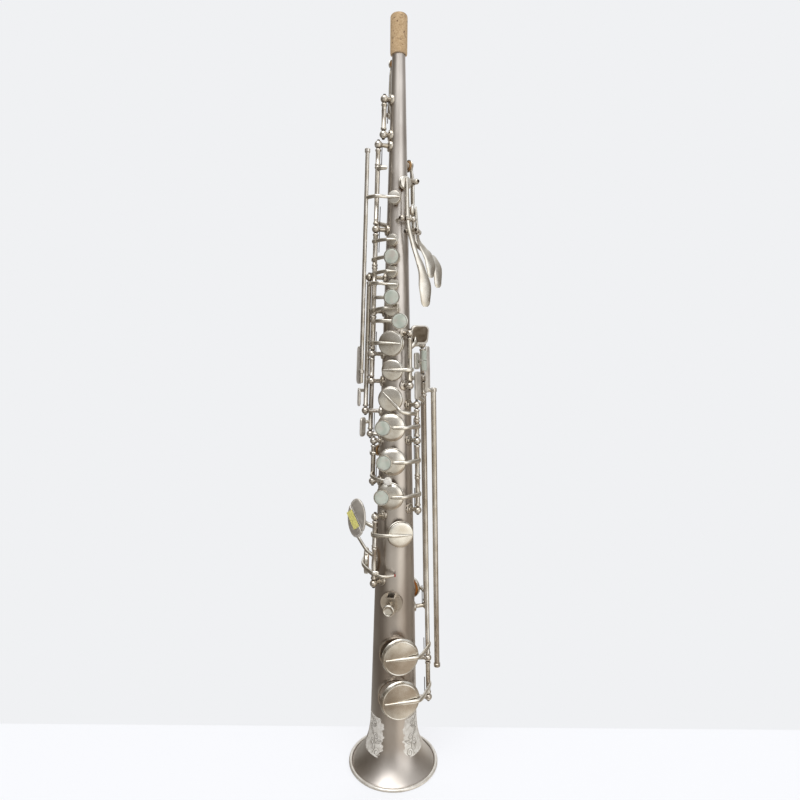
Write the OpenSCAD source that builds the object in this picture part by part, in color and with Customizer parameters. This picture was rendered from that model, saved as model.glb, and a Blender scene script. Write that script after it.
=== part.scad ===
// Straight soprano saxophone, standing on its bell.
// Z is the bore axis with the bell rim at z = 0; the front of the horn faces -Y.
// Angles are counted from the front, positive towards +X (the player's left hand).

/* [Body] */
// Length from the bell rim to the tip of the neck
body_len = 645; // [620:1:680]
// Outer radius of the cone, carried straight down to the rim plane
cone_r = 21.95; // [21:0.05:23]
// Outer radius of the neck at its tip
tip_r = 4.63; // [4.3:0.01:5]
// Thickness of the body wall
wall = 0.8; // [0.6:0.05:1.2]
// Outer radius of the bell rim
bell_r = 40.4; // [36:0.2:46]
// Height of the flared part of the bell
flare_h = 54; // [40:1:56]
// How suddenly the bell flares
flare_power = 3.3; // [2.4:0.1:4.5]
// Radius of the rolled bead on the rim
bead_r = 1.5; // [1.1:0.1:2]
// How much of the bead is planed off to stand on
bead_flat = 0.3; // [0.1:0.05:0.5]

/* [Cork] */
// Outer radius of the mouthpiece cork
cork_r = 7; // [6.4:0.1:8]
// Length of the cork
cork_len = 31; // [24:1:36]
// Rounding of the cork's top edge
cork_round = 2; // [0.5:0.1:2.2]

/* [Tone holes] */
// Height of a chimney's seat above the crown of the body
chimney_h = 2.6; // [2:0.1:3.2]
// Wall of a chimney
chimney_wall = 0.8; // [0.6:0.05:1.1]
// How far the pad reaches beyond the chimney all round
seat_lap = 1.1; // [0.8:0.1:1.4]

/* [Cups and pads] */
// Wall of a key cup
cup_wall = 0.7; // [0.5:0.05:0.9]
// Rise of a cup's dome for each millimetre of its radius
cup_dome = 0.07; // [0.03:0.01:0.1]
// Cups under this radius take the thin pad
small_cup_r = 6.5; // [6.2:0.1:7]
// Thickness of the pads in large cups
pad_thick = 3; // [2.6:0.1:3.4]
// Thickness of the pads in small cups
pad_thin = 2.2; // [1.9:0.1:2.4]
// How far a pad stands out of its cup
pad_proud = 0.8; // [0.5:0.1:1.1]
// Gap between a closed pad and its seat
pad_gap = 0.1; // [0.05:0.05:0.2]
// Clearance of a pad in its cup
pad_fit = 0.1; // [0.05:0.05:0.2]

/* [Hinges] */
// Diameter of the hinge rods
rod_d = 2.4; // [2:0.1:2.6]
// Running clearance of a hinge tube on its rod
hinge_fit = 0.05; // [0.02:0.01:0.09]
// Diameter of the hinge tubes
tube_d = 4; // [3.6:0.1:4.4]
// End play between neighbouring tubes and posts
end_play = 0.3; // [0.2:0.05:0.5]
// Diameter of a post's ball head
ball_d = 6.6; // [6:0.1:7]
// Diameter of a post's stem
stem_d = 3.4; // [2.8:0.1:4]
// Diameter of a post's foot
foot_d = 9; // [7:0.2:10]
// Thickness of a post's foot
foot_t = 1.1; // [0.8:0.1:1.6]
// Diameter of the needle springs
spring_d = 0.7; // [0.5:0.1:0.9]
// Length of the needle springs
spring_len = 17; // [12:1:22]

/* [Key arms] */
// Height of an arm's rib
arm_t = 2.2; // [1.8:0.1:2.6]
// Width of an arm at its hinge tube
arm_w = 4; // [3:0.1:4.6]
// Width of an arm's tip
arm_tip = 1; // [0.6:0.1:1.6]
// Thickness of the touch plates
plate_t = 2; // [1.6:0.1:2.4]
// Diameter of the low B flat key's bypass rod
low_bypass_d = 4.6; // [3.6:0.1:5]
// Diameter of the high E key's bypass rod
high_bypass_d = 3.4; // [3:0.1:4]
// Distance of the low B flat key's bypass rod from its hinge line
low_bypass_off = 8.2; // [7.8:0.1:8.8]
// Distance of the high E key's bypass rod from its hinge line
high_bypass_off = 9; // [8.8:0.1:9.4]

/* [Pearls] */
// Diameter of a pearl's metal bezel
bezel_d = 12.6; // [11.6:0.1:12.8]
// Height of a bezel
bezel_h = 2.8; // [2.2:0.1:3.4]
// Diameter of a pearl
pearl_d = 10.8; // [9.6:0.1:11]
// How far a pearl stands out of its bezel
pearl_proud = 0.5; // [0.2:0.1:0.8]

/* [Key travel in degrees] */
// Opening of the low B and B flat keys
low_open = 9; // [6:0.5:11]
// Opening of the low C key
c_open = 10; // [6:0.5:11]
// Opening of the right-hand stack
rh_open = 9.5; // [6:0.5:11]
// Opening of the left-hand stack
lh_open = 9; // [6:0.5:11]

/* [Fittings] */
// Distance of the neck octave arm above its lower post
octave_arm_up = 20.5; // [13:0.5:22]
// Height of the thumb rest on the back
thumb_rest_z = 424; // [416:1:430]
// Diameter of the thumb rest
thumb_rest_d = 12; // [10:0.5:14]
// Height of the thumb hook on the back
hook_z = 300; // [280:1:320]
// Width of the thumb hook
hook_w = 11; // [8:0.5:13]
// Diameter of the thumb hook's base
hook_base_d = 15; // [13:0.5:18]
// Height of the lyre socket
lyre_z = 157; // [150:1:164]
// Angle of the lyre socket
lyre_phi = -8; // [-14:0.5:0]
// Inside width of the lyre socket
lyre_slot = 6; // [5.5:0.1:7]
// Wall of the lyre socket
lyre_wall = 1.2; // [1:0.1:1.5]
// Diameter of the lyre socket's base
lyre_base_d = 19; // [17:0.5:22]
// Diameter of the lyre screw's head
lyre_head_d = 9.6; // [8:0.1:11]

/* [Hidden] */
$fn = 40;

// Body length that the heights are laid out for; on another length they spread in proportion
layout_len = 645;
function at(z) = z * body_len / layout_len;
function all_at(heights) = [for (z = heights) at(z)];
function hole(z, phi, r) = [at(z), phi, r];

// Hinge lines: angle round the body and height above it
low_rod = [88, 11];
sharp_rod = [104, 11];
rh_rod = [52, 9];
pinky_rod = [-42, 9.5];
lh_rod = [-72, 9.5];
side_rod = [-86, 13];
back_rod = [-102, 9];
g_rod = [32, 9];
trill_rod = [-66, 6.5];
neck_rod = [-72, 5.5];

// Heights of the posts on each hinge line
low_posts = all_at([61, 98, 349.5]);
sharp_posts = all_at([143.5, 378]);
rh_posts = all_at([237.5, 297, 327.5]);
pinky_posts = all_at([174.5, 232.5]);
lh_posts = all_at([347, 370, 473, 541]);
side_posts = all_at([321, 434]);
back_posts = all_at([300, 406]);
g_posts = all_at([344, 387]);
trill_posts = all_at([261, 296]);
neck_posts = all_at([549.5, 577.5]);

// Tone holes: height, angle round the body and radius of the cup that covers them
low_bb = hole(75, 4, 17);
low_b = hole(113, 4, 16);
low_cs = hole(157, 137, 9.5);
low_c = hole(187, -96, 11.5);
eb = hole(218, 13, 11.2);
rh3 = hole(251.5, -16, 11.6);
rh2 = hole(280.5, -12, 11.6);
rh1 = hole(309.5, -15, 11.8);
fs = hole(333, -18, 10.2);
gs = hole(357, -11, 9);
lh3 = hole(379, -10, 10.6);
lh2 = hole(407.5, -9, 6.6);
side_c = hole(427.4, -11, 4.5);
bis = hole(437.6, -10, 4.8);
lh1 = hole(449, -7, 5.8);
c_vent = hole(463, -11, 4.7);
side_bb = hole(398, -150, 5);
trill = hole(285, -122, 5);
side_e = hole(497.5, -12, 5.5);
palm_d = hole(509.5, 30, 5.4);
palm_eb = hole(489, 78, 5.2);
palm_f = hole(528, 130, 4.8);
octave = hole(610, -148, 3.4);

SILVER = [0.6, 0.57, 0.53];
KEY_SILVER = [0.8, 0.79, 0.76];
STEEL = [0.42, 0.4, 0.38];
FELT = [0.62, 0.45, 0.3];
PEARL = [0.8, 0.82, 0.78];
CORK = [0.75, 0.61, 0.43];

taper = (cone_r - tip_r) / body_len;
alpha = atan(taper);
skin_x = cone_r * cos(alpha);
flare_steps = 14;
rod_r = rod_d / 2;
bore_r = rod_r + hinge_fit;
tube_r = tube_d / 2;
post_gap = ball_d / 2 + end_play;
bezel_sink = 0.5;
deep = 60;
over = 1;
arm_h = 3;
collar = 1.2;
base_sink = 4;
rib_sink = 0.2;
foot_gap = 0.3;
base_t = 1.2;
thumb_rest_phi = 176;

// Hinge lines: a rod is parallel to the side of the cone, so it lies straight in its own tilted frame.
// In that frame x points out of the body, y runs round it and z along the rod.
function rod_x(rod) = skin_x + rod[1];
function axis_x(t) = t * tan(alpha);
function skin(t) = skin_x - axis_x(t);
function turn_to(rod, hole) = hole[1] - rod[0];
function near_side(d) = d < 0 ? 1 : -1;

// Ends of the tubes that stop above and below a post
function above(post) = post + post_gap;
function below(post) = post - post_gap;
function between(posts) = [above(posts[0]), below(posts[1])];

// Point of the section at height t: angle a from the rod, h above the skin, s along the tangent
function sec(t, a, h, s = 0) =
  [axis_x(t) + (skin(t) + h) * cos(a) - s * sin(a), (skin(t) + h) * sin(a) + s * cos(a)];

function pad_t(r) = r < small_cup_r ? pad_thin : pad_thick;
function rim_h(r) = pad_gap + pad_t(r) + pad_fit + cup_wall;
function top_h(r) = chimney_h + rim_h(r);
function chimney_r(r) = r - cup_wall - pad_fit - seat_lap;

function unit(v) = v / norm(v);
function left_of(v) = [-v[1], v[0]];
function edge_at(p, w, i, side) =
  let (a = unit(i == 0 ? p[1] - p[0] : p[i] - p[i - 1]),
       b = unit(i == len(p) - 1 ? p[i] - p[i - 1] : p[i + 1] - p[i]),
       m = unit(left_of(a) + left_of(b)))
  p[i] + side * m * w[i] / 2 / (m * left_of(a));

// Flat bar that follows the points p with the width w[i] at each
module bar(p, w) {
  last = len(p) - 1;
  polygon(concat([for (i = [0:last]) edge_at(p, w, i, 1)],
                 [for (i = [last:-1:0]) edge_at(p, w, i, -1)]));
}

function corner(x, y, r, a0) = [for (a = [a0:22.5:a0 + 90]) [x + r * cos(a), y + r * sin(a)]];
function round_plate(w, h, r) = concat(corner(w / 2 - r, h / 2 - r, r, 0), corner(r - w / 2, h / 2 - r, r, 90),
  corner(r - w / 2, r - h / 2, r, 180), corner(w / 2 - r, r - h / 2, r, 270));
function half_moon(a, b, cut) = [for (q = [cut:15:cut + 180]) [a * cos(q), b * sin(q)]];

module rod_frame(rod) rotate([0, 0, rod[0] - 90]) rotate([0, -alpha, 0]) children();

// Turn about a hinge line, inside its frame and from outside it
module turned(rod, angle) translate([rod_x(rod), 0, 0]) rotate([0, 0, angle])
  translate([-rod_x(rod), 0, 0]) children();
module swing(rod, angle) rod_frame(rod) turned(rod, angle) children();

// Frame on the body at height t and angle d: z points straight out, y runs round the body, x points down
module seat(t, d) translate([axis_x(t), 0, t]) rotate([0, 0, d]) rotate([0, 90, 0])
  translate([0, 0, skin(t)]) children();

// Extrusions along the rod and square to it
module along_rod(t, h) translate([0, 0, t - h / 2]) linear_extrude(h) children();
module in_plan() rotate([90, 0, 90]) linear_extrude(2 * deep) children();

// Hinge tube over the span [foot, top] of its rod, and the bore through all that sits on that span
module hinge_tube(rod, span) translate([rod_x(rod), 0, span[0]]) cylinder(r = tube_r, h = span[1] - span[0]);
module rod_bore(rod, span) translate([rod_x(rod), 0, span[0] - over])
  cylinder(r = bore_r, h = span[1] - span[0] + 2 * over);

module cup_profile(r) {
  rise = cup_dome * r;
  dome_r = (r * r + rise * rise) / (2 * rise);
  bottom = pad_gap + pad_proud;
  top = rim_h(r);
  difference() {
    intersection() {
      translate([0, bottom]) square([r, top + rise - bottom]);
      translate([0, top + rise - dome_r]) circle(r = dome_r, $fn = 120);
    }
    square([r - cup_wall, top - cup_wall]);
  }
}

module cup(rod, hole) seat(hole[0], turn_to(rod, hole)) translate([0, 0, chimney_h])
  rotate_extrude() cup_profile(hole[2]);

module pad(rod, hole) seat(hole[0], turn_to(rod, hole)) translate([0, 0, chimney_h + pad_gap])
  cylinder(r = hole[2] - cup_wall - pad_fit, h = pad_t(hole[2]));

module chimney(rod, hole, grow = 0) rod_frame(rod) seat(hole[0], turn_to(rod, hole))
  translate([0, 0, -skin(hole[0]) / 2])
  cylinder(r = chimney_r(hole[2]) + grow, h = skin(hole[0]) / 2 + chimney_h + grow);

module chimney_bore(rod, hole) rod_frame(rod) seat(hole[0], turn_to(rod, hole))
  translate([0, 0, -skin(hole[0]) / 2])
  cylinder(r = chimney_r(hole[2]) - chimney_wall, h = skin(hole[0]) / 2 + chimney_h + over);

// Rib across the top of a cup, from outside its near rim to a thin tip
module rib(hole, d, reach = 0.8, spin = 0, past = 1) {
  r = hole[2];
  n = near_side(d);
  seat(hole[0], d) translate([0, 0, top_h(r) - rib_sink]) rotate([0, 0, spin]) linear_extrude(arm_t + rib_sink)
    bar([[0, n * (r + past)], [0, -n * r * reach]], [arm_w * 0.65, arm_tip]);
}

// Link from the hinge tube at height t_rod to a point of the section at height t
module link(rod, t_rod, t, points, w0 = arm_w, w1 = arm_w * 0.75) {
  path = concat([[rod_x(rod), 0]], points);
  tip = path[len(path) - 1];
  widths = [for (p = path) arm_t];
  low = min(t_rod, t) - arm_w;
  high = max(t_rod, t) + arm_w;
  intersection() {
    along_rod((low + high) / 2, high - low) bar(path, widths);
    translate([-deep / 2, 0, 0]) in_plan()
      bar([[-0.01 * tip[1], t_rod], [1.05 * tip[1], t]], [w0, w1]);
  }
}

// Arm from the rod to a cup: bent link and rib
module cup_arm(rod, hole, t_rod, reach = 0.8) {
  d = turn_to(rod, hole);
  n = near_side(d);
  h = top_h(hole[2]) + arm_t / 2 - rib_sink / 2;
  near = sec(hole[0], d, h, n * (hole[2] - cup_wall));
  knee = (near + [rod_x(rod), 0]) / 2 + unit(near + [rod_x(rod), 0] - 2 * [axis_x(hole[0]), 0]) * 1.2;
  link(rod, t_rod, hole[0], [knee, near]);
  rib(hole, d, reach);
}

// Bezel with its pearl pocket, standing on the surface at height base above the skin
module bezel(t, d, s, base) seat(t, d) translate([0, s, base]) difference() {
  cylinder(d = bezel_d, h = bezel_h);
  translate([0, 0, bezel_h / 2]) cylinder(d = pearl_d + 2 * pad_fit, h = bezel_h);
}

module pearl(t, d, s, base) color(PEARL) seat(t, d) translate([0, s, base + bezel_h / 2]) rotate_extrude()
  intersection() {
    h = bezel_h / 2 + pearl_proud;
    dome_r = (pearl_d * pearl_d / 4 + pearl_proud * pearl_proud) / (2 * pearl_proud);
    square([pearl_d / 2, h]);
    translate([0, h - dome_r]) circle(r = dome_r, $fn = 120);
  }

// Flat touch plate at the point p of the section at height t, w wide and len high, turned to face the angle face
module plate(p, t, face, w, len, r) translate([p[0], p[1], t]) rotate([0, 0, face]) rotate([0, 90, 0])
  translate([0, 0, -plate_t / 2]) linear_extrude(plate_t) polygon(round_plate(len, w, r));

// Arm from a hinge tube out to its bypass rod, and the bypass rod itself
module cross_arm(rod, t, off, d) {
  x = rod_x(rod);
  along_rod(t, arm_h) {
    bar([[x, 0], [x + off, 0]], [arm_h, arm_h]);
    translate([x + off, 0]) circle(d = d + collar);
  }
}
module bypass(rod, span, off, d) translate([rod_x(rod) + off, 0, span[0]])
  cylinder(d = d, h = span[1] - span[0]);

// Body: the bell, the tube brazed to it, and the chimneys that stand on their tone holes
function flare(z) = z < flare_h ? (bell_r - bead_r - cone_r) * pow(1 - z / flare_h, flare_power) : 0;
function outer_r(z) = cone_r - taper * z + flare(z);
flare_z = [for (i = [0:flare_steps]) flare_h * i / flare_steps];

// Heights of the seams between the rings that the body is drawn in, halfway between the tone holes
FRONT = [low_bb, low_b, low_cs, low_c, eb, rh3, rh2, rh1, fs, gs, lh3, lh2, side_c, bis, lh1, c_vent, side_e,
  palm_d, palm_f, octave];
seam_z = [for (i = [1:len(FRONT) - 1]) (FRONT[i - 1][0] + FRONT[i][0]) / 2];
side_z = concat(flare_z, seam_z);

// Height of the joint between the bell and the tube
bell_top = (low_b[0] + low_cs[0]) / 2;
bell_z = [for (z = side_z) if (z < bell_top) z];
tube_z = [for (z = side_z) if (z > bell_top) z];

BELL_HOLES = [[low_rod, low_bb], [low_rod, low_b]];
TUBE_HOLES = [[sharp_rod, low_cs], [pinky_rod, low_c], [pinky_rod, eb],
  [rh_rod, rh3], [rh_rod, rh2], [rh_rod, rh1], [rh_rod, fs], [g_rod, gs],
  [lh_rod, lh3], [lh_rod, lh2], [side_rod, side_c], [lh_rod, bis], [lh_rod, lh1], [lh_rod, c_vent],
  [back_rod, side_bb], [trill_rod, trill], [lh_rod, side_e],
  [[palm_d[1], 0], palm_d], [[palm_eb[1], 0], palm_eb], [[palm_f[1], 0], palm_f], [neck_rod, octave]];
HOLES = concat(BELL_HOLES, TUBE_HOLES);

module cone_solid(grow) rotate_extrude($fn = 96)
  polygon(concat([[0, -bead_r]], [[outer_r(0) + grow, -bead_r]], [for (z = flare_z) [outer_r(z) + grow, z]],
    [[outer_r(body_len) + grow, body_len], [0, body_len]]));

module bell_outside() rotate_extrude($fn = 96) difference() {
  union() {
    polygon(concat([[0, 0]], [for (z = bell_z) [outer_r(z), z]],
      [[outer_r(bell_top), bell_top], [0, bell_top]]));
    translate([bell_r - bead_r, bead_r - bead_flat]) circle(r = bead_r);
  }
  translate([0, -2 * bead_r]) square([2 * bell_r, 2 * bead_r]);
}

module bell_bore() rotate_extrude($fn = 96)
  polygon(concat([[0, -1], [outer_r(0) - wall, -1]], [for (z = bell_z) [outer_r(z) - wall, z]],
    [[outer_r(bell_top + 1) - wall, bell_top + 1], [0, bell_top + 1]]));

module bell() color(SILVER) difference() {
  bell_outside();
  bell_bore();
  for (h = BELL_HOLES) chimney_bore(h[0], h[1]);
}

module tube_outside() rotate_extrude($fn = 96)
  polygon(concat([[0, bell_top], [outer_r(bell_top), bell_top]], [for (z = tube_z) [outer_r(z), z]],
    [[outer_r(body_len), body_len], [0, body_len]]));

module tube_bore() rotate_extrude($fn = 96)
  polygon(concat([[0, bell_top - 1], [outer_r(bell_top - 1) - wall, bell_top - 1]],
    [for (z = tube_z) [outer_r(z) - wall, z]],
    [[outer_r(body_len) - wall, body_len], [outer_r(body_len) - wall, body_len + 1], [0, body_len + 1]]));

module body_tube() color(SILVER) difference() {
  tube_outside();
  tube_bore();
  for (h = TUBE_HOLES) chimney_bore(h[0], h[1]);
}

module chimneys(holes) color(SILVER) for (h = holes) difference() {
  chimney(h[0], h[1]);
  chimney_bore(h[0], h[1]);
  cone_solid(0);
}

module bell_tone_holes() chimneys(BELL_HOLES);

module tone_holes() chimneys(TUBE_HOLES);

module neck_cork() color(CORK) difference() {
  translate([0, 0, body_len - cork_len]) rotate_extrude() {
    square([cork_r - cork_round, cork_len]);
    square([cork_r, cork_len - cork_round]);
    translate([cork_r - cork_round, cork_len - cork_round]) circle(r = cork_round);
  }
  cone_solid(0);
}

// Hinge lines with the heights of their posts
STACKS = [[low_rod, low_posts], [sharp_rod, sharp_posts], [rh_rod, rh_posts], [pinky_rod, pinky_posts],
  [lh_rod, lh_posts], [side_rod, side_posts], [back_rod, back_posts], [g_rod, g_posts],
  [trill_rod, trill_posts], [neck_rod, neck_posts]];
rod_end = 0.6;
rod_over = ball_d / 2 + rod_end;

// Palm keys with the heights of their hinges, which lie across the body between two slender posts
palm_d_drop = 29.5;
palm_eb_drop = 17;
palm_f_drop = 13;
PALMS = [[palm_d, palm_d[0] - palm_d_drop], [palm_eb, palm_eb[0] - palm_eb_drop],
  [palm_f, palm_f[0] - palm_f_drop]];
palm_h = 8;
palm_tube = 5.2;
palm_ball_d = 4.8;
palm_stem_d = 2.8;
palm_span = palm_tube / 2 + end_play + palm_ball_d / 2;
palm_x = skin_x + palm_h;

module palm_pin(p, r, len) translate([palm_x, 0, p[1]]) rotate([90, 0, 0])
  cylinder(r = r, h = len, center = true);

module post(x, t, ball, stem, foot) translate([axis_x(t), 0, t]) rotate([0, 90, 0]) {
  cylinder(d = stem, h = x - axis_x(t));
  cylinder(d = foot, h = skin(t) + foot_t);
  translate([0, 0, x - axis_x(t)]) sphere(d = ball);
}

// The feet are notched where they come close to a chimney
module key_posts() color(KEY_SILVER) difference() {
  union() {
    for (s = STACKS, t = s[1]) difference() {
      rod_frame(s[0]) difference() {
        post(rod_x(s[0]), t, ball_d, stem_d, foot_d);
        translate([rod_x(s[0]), 0, t - ball_d]) cylinder(r = rod_r, h = 2 * ball_d);
      }
      for (h = HOLES) if (abs(h[1][0] - t) < h[1][2] + foot_d / 2) chimney(h[0], h[1], foot_gap);
    }
    for (p = PALMS, side = [-1, 1]) rod_frame([p[0][1], palm_h]) difference() {
      translate([0, side * palm_span, 0]) post(palm_x, p[1], palm_ball_d, palm_stem_d, palm_stem_d);
      palm_pin(p, rod_r, deep);
    }
  }
  cone_solid(0);
}

module hinge_rods() color(STEEL) {
  for (s = STACKS) {
    low = min(s[1]) - rod_over;
    high = max(s[1]) + rod_over;
    rod_frame(s[0]) translate([rod_x(s[0]), 0, low]) cylinder(r = rod_r, h = high - low);
  }
  for (p = PALMS) rod_frame([p[0][1], palm_h]) palm_pin(p, rod_r, 2 * palm_span + palm_ball_d + rod_end);
}

// Springs stand in the post stems and lie under the tubes, up (1) or down (-1) from their post
SPRINGS = [[low_rod, low_posts[0], 1], [low_rod, low_posts[1], 1], [sharp_rod, sharp_posts[0], 1],
  [rh_rod, rh_posts[0], 1], [rh_rod, rh_posts[1], 1], [rh_rod, rh_posts[1], -1],
  [pinky_rod, pinky_posts[0], 1], [pinky_rod, pinky_posts[1], -1], [lh_rod, lh_posts[1], 1],
  [lh_rod, lh_posts[2], -1], [lh_rod, lh_posts[2], 1], [lh_rod, lh_posts[3], -1],
  [side_rod, side_posts[0], 1], [back_rod, back_posts[0], 1], [g_rod, g_posts[1], -1],
  [trill_rod, trill_posts[0], 1], [neck_rod, neck_posts[1], -1]];
spring_drop = tube_r + 1.2;

module needle_springs() color(STEEL) for (s = SPRINGS) rod_frame(s[0])
  translate([rod_x(s[0]) - spring_drop, 0, s[1] + s[2] * stem_d / 2])
  mirror([0, 0, s[2] < 0 ? 1 : 0]) cylinder(d = spring_d, h = spring_len);

module thumb_hook() color(KEY_SILVER) difference() {
  rod_frame([180, 0]) {
    translate([skin_x, hook_w / 2, hook_z]) rotate([90, 0, 0]) linear_extrude(hook_w)
      bar([[-2, 0], [5, 0], [14, -1], [20, -5], [22, -12]], [4, 3.4, 3.2, 3, 2.4]);
    seat(hook_z, 0) translate([0, 0, -base_sink]) cylinder(d = hook_base_d, h = base_sink + base_t);
  }
  cone_solid(0);
}

module thumb_rest() color(KEY_SILVER) difference() {
  rod_frame([thumb_rest_phi, 0]) seat(thumb_rest_z, 0) translate([0, 0, -base_sink]) {
    cylinder(d = thumb_rest_d, h = base_sink + 2);
    cylinder(d = thumb_rest_d * 0.75, h = base_sink + 2.6);
  }
  cone_solid(0);
}

lyre_out = lyre_slot + 2 * lyre_wall;
lyre_len = 14;
lyre_reach = 16;
lyre_thread_r = 1.6;
lyre_head_t = 2.6;

module lyre_socket() color(KEY_SILVER) rod_frame([lyre_phi, 0]) difference() {
  union() {
    seat(lyre_z, 0) translate([0, 0, -base_sink]) cylinder(d = lyre_base_d, h = base_sink + base_t);
    along_rod(lyre_z, lyre_len) translate([skin_x - over, -lyre_out / 2]) square([lyre_out + over, lyre_out]);
  }
  along_rod(lyre_z, 2 * lyre_len) translate([skin_x + lyre_wall, -lyre_slot / 2]) square(lyre_slot);
  seat(lyre_z, 0) cylinder(r = lyre_thread_r + hinge_fit, h = deep);
  rotate([0, alpha, 0]) cone_solid(0);
}

module lyre_screw() color(KEY_SILVER) rod_frame([lyre_phi, 0]) seat(lyre_z, 0) {
  translate([0, 0, lyre_out - lyre_wall]) cylinder(r = lyre_thread_r, h = lyre_reach - lyre_out + lyre_wall);
  translate([0, 0, lyre_reach]) cylinder(d = lyre_head_d, h = lyre_head_t);
  translate([0, 0, lyre_reach - over]) cylinder(d = lyre_head_d * 0.6, h = 2 * over);
}

// Low B flat: short tubes at both ends of the rod, carried past the low B tube by the bypass rod
bb_lower = between(low_posts);
bb_upper = [at(336), below(low_posts[2])];
b_tube = [above(low_posts[1]), bb_upper[0] - end_play];
bb_cross = [bb_lower[1] - arm_h, bb_upper[0] + arm_h];
roller_d = 4.6;
roller_t = [at(356), at(373)];

module low_bb_key() color(KEY_SILVER) rod_frame(low_rod) difference() {
  x = rod_x(low_rod);
  union() {
    hinge_tube(low_rod, bb_lower);
    hinge_tube(low_rod, bb_upper);
    turned(low_rod, low_open) {
      cup_arm(low_rod, low_bb, low_bb[0] - 2);
      cup(low_rod, low_bb);
    }
    for (t = bb_cross) cross_arm(low_rod, t, low_bypass_off, low_bypass_d);
    bypass(low_rod, [bb_cross[0] - over, bb_cross[1] + over], low_bypass_off, low_bypass_d);
    along_rod(bb_cross[1], arm_h) bar([[x + low_bypass_off, 0], [x + 6, -5], [x + 3, -8]], [3, 3, 3]);
    translate([x + 3.4, -7, bb_cross[1] - arm_h / 2]) rotate([0, 0, -35]) translate([-plate_t / 2, -2.5, 0])
      cube([plate_t, 5, 39]);
    translate([x + 0.6, -9.4, roller_t[0]]) cylinder(d = roller_d, h = roller_t[1] - roller_t[0]);
  }
  rod_bore(low_rod, [bb_lower[0], bb_upper[1]]);
}

b_touch = [at(343.5), -29];
b_plate = 24;
b_link_t = b_touch[0] - b_plate / 2 + 2;

module low_b_key() color(KEY_SILVER) rod_frame(low_rod) difference() {
  p = sec(b_touch[0], b_touch[1], 8.4);
  union() {
    hinge_tube(low_rod, b_tube);
    turned(low_rod, low_open) {
      cup_arm(low_rod, low_b, low_b[0] - 2.5);
      cup(low_rod, low_b);
    }
    link(low_rod, b_link_t - 5, b_link_t, [sec(b_touch[0], -14, 10.6), p], 5.4, 4);
    plate(p, b_touch[0], b_touch[1], 8.4, b_plate, 2.5);
  }
  rod_bore(low_rod, b_tube);
}

cs_tube = between(sharp_posts);
cs_touch = [at(364.5), -46];

module low_c_sharp_key() color(KEY_SILVER) rod_frame(sharp_rod) difference() {
  p = sec(cs_touch[0], cs_touch[1], 8.2);
  union() {
    hinge_tube(sharp_rod, cs_tube);
    cup_arm(sharp_rod, low_cs, cs_tube[0] + arm_h);
    cup(sharp_rod, low_cs);
    link(sharp_rod, cs_touch[0] - 2, cs_touch[0], [sec(cs_touch[0], -20, 9.5), p], 6, 6);
    plate(p, cs_touch[0], cs_touch[1], 7.6, 14, 2.5);
  }
  rod_bore(sharp_rod, cs_tube);
}

// Right little finger: two half-moon touches on one rod
pinky_mid = [rod_x(pinky_rod) + 8, -14];
pinky_t = at(230);
pinky_cut = 50;
pinky_half = [16.5, 9.6];
pinky_slit = 0.6;
pinky_split = at(206);
c_tube = [above(pinky_posts[0]), pinky_split - end_play];
eb_tube = [pinky_split, below(pinky_posts[1])];
c_tail_t = low_c[0] - 5;

module pinky_touch(cut) translate([pinky_mid[0], pinky_mid[1], pinky_t]) rotate([0, 0, 4]) rotate([0, 90, 0])
  translate([pinky_slit * cos(cut + 90), pinky_slit * sin(cut + 90), -plate_t / 2]) linear_extrude(plate_t)
  polygon(half_moon(pinky_half[0], pinky_half[1], cut));

module e_flat_key() color(KEY_SILVER) rod_frame(pinky_rod) difference() {
  union() {
    hinge_tube(pinky_rod, eb_tube);
    cup_arm(pinky_rod, eb, eb[0] - over);
    cup(pinky_rod, eb);
    link(pinky_rod, pinky_t - 6.5, pinky_t + 3, [pinky_mid + [-4, 8], pinky_mid + [-0.4, 3]], 4, 4);
    pinky_touch(pinky_cut);
  }
  rod_bore(pinky_rod, eb_tube);
}

module low_c_key() color(KEY_SILVER) rod_frame(pinky_rod) difference() {
  x = rod_x(pinky_rod);
  union() {
    hinge_tube(pinky_rod, c_tube);
    turned(pinky_rod, c_open) {
      cup_arm(pinky_rod, low_c, low_c[0] - 3);
      cup(pinky_rod, low_c);
      link(pinky_rod, c_tail_t, c_tail_t, [sec(c_tail_t, 20, 10.4), sec(c_tail_t, 40, 6.4)], 4, 2);
    }
    link(pinky_rod, pinky_split - 7.5, pinky_t - 14,
      [[x + 4, -5], pinky_mid + [-1, 3], pinky_mid + [-0.4, -3]], 3.6, 3.6);
    pinky_touch(pinky_cut + 180);
  }
  rod_bore(pinky_rod, c_tube);
}

// Right-hand stack
rh_pearl_s = -6.4;
rh_split = all_at([266.5, 315]);
rh_tubes = [[above(rh_posts[0]), rh_split[0] - end_play], [rh_split[0], below(rh_posts[1])],
  [above(rh_posts[1]), rh_split[1] - end_play]];
fs_tube = [rh_split[1], below(rh_posts[2])];

function rh_bezel_h(hole) = top_h(hole[2]) - bezel_sink + arm_t / 2;

module rh_key(hole, tube) color(KEY_SILVER) swing(rh_rod, rh_open) difference() {
  d = turn_to(rh_rod, hole);
  union() {
    hinge_tube(rh_rod, tube);
    cup_arm(rh_rod, hole, hole[0], 0);
    cup(rh_rod, hole);
    bezel(hole[0], d, rh_pearl_s, rh_bezel_h(hole));
    seat(hole[0], d) translate([0, rh_pearl_s, top_h(hole[2]) - bezel_sink])
      cylinder(d = bezel_d * 0.7, h = arm_t);
  }
  rod_bore(rh_rod, tube);
}

module rh_pearl(hole) swing(rh_rod, rh_open) pearl(hole[0], turn_to(rh_rod, hole), rh_pearl_s, rh_bezel_h(hole));

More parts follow.
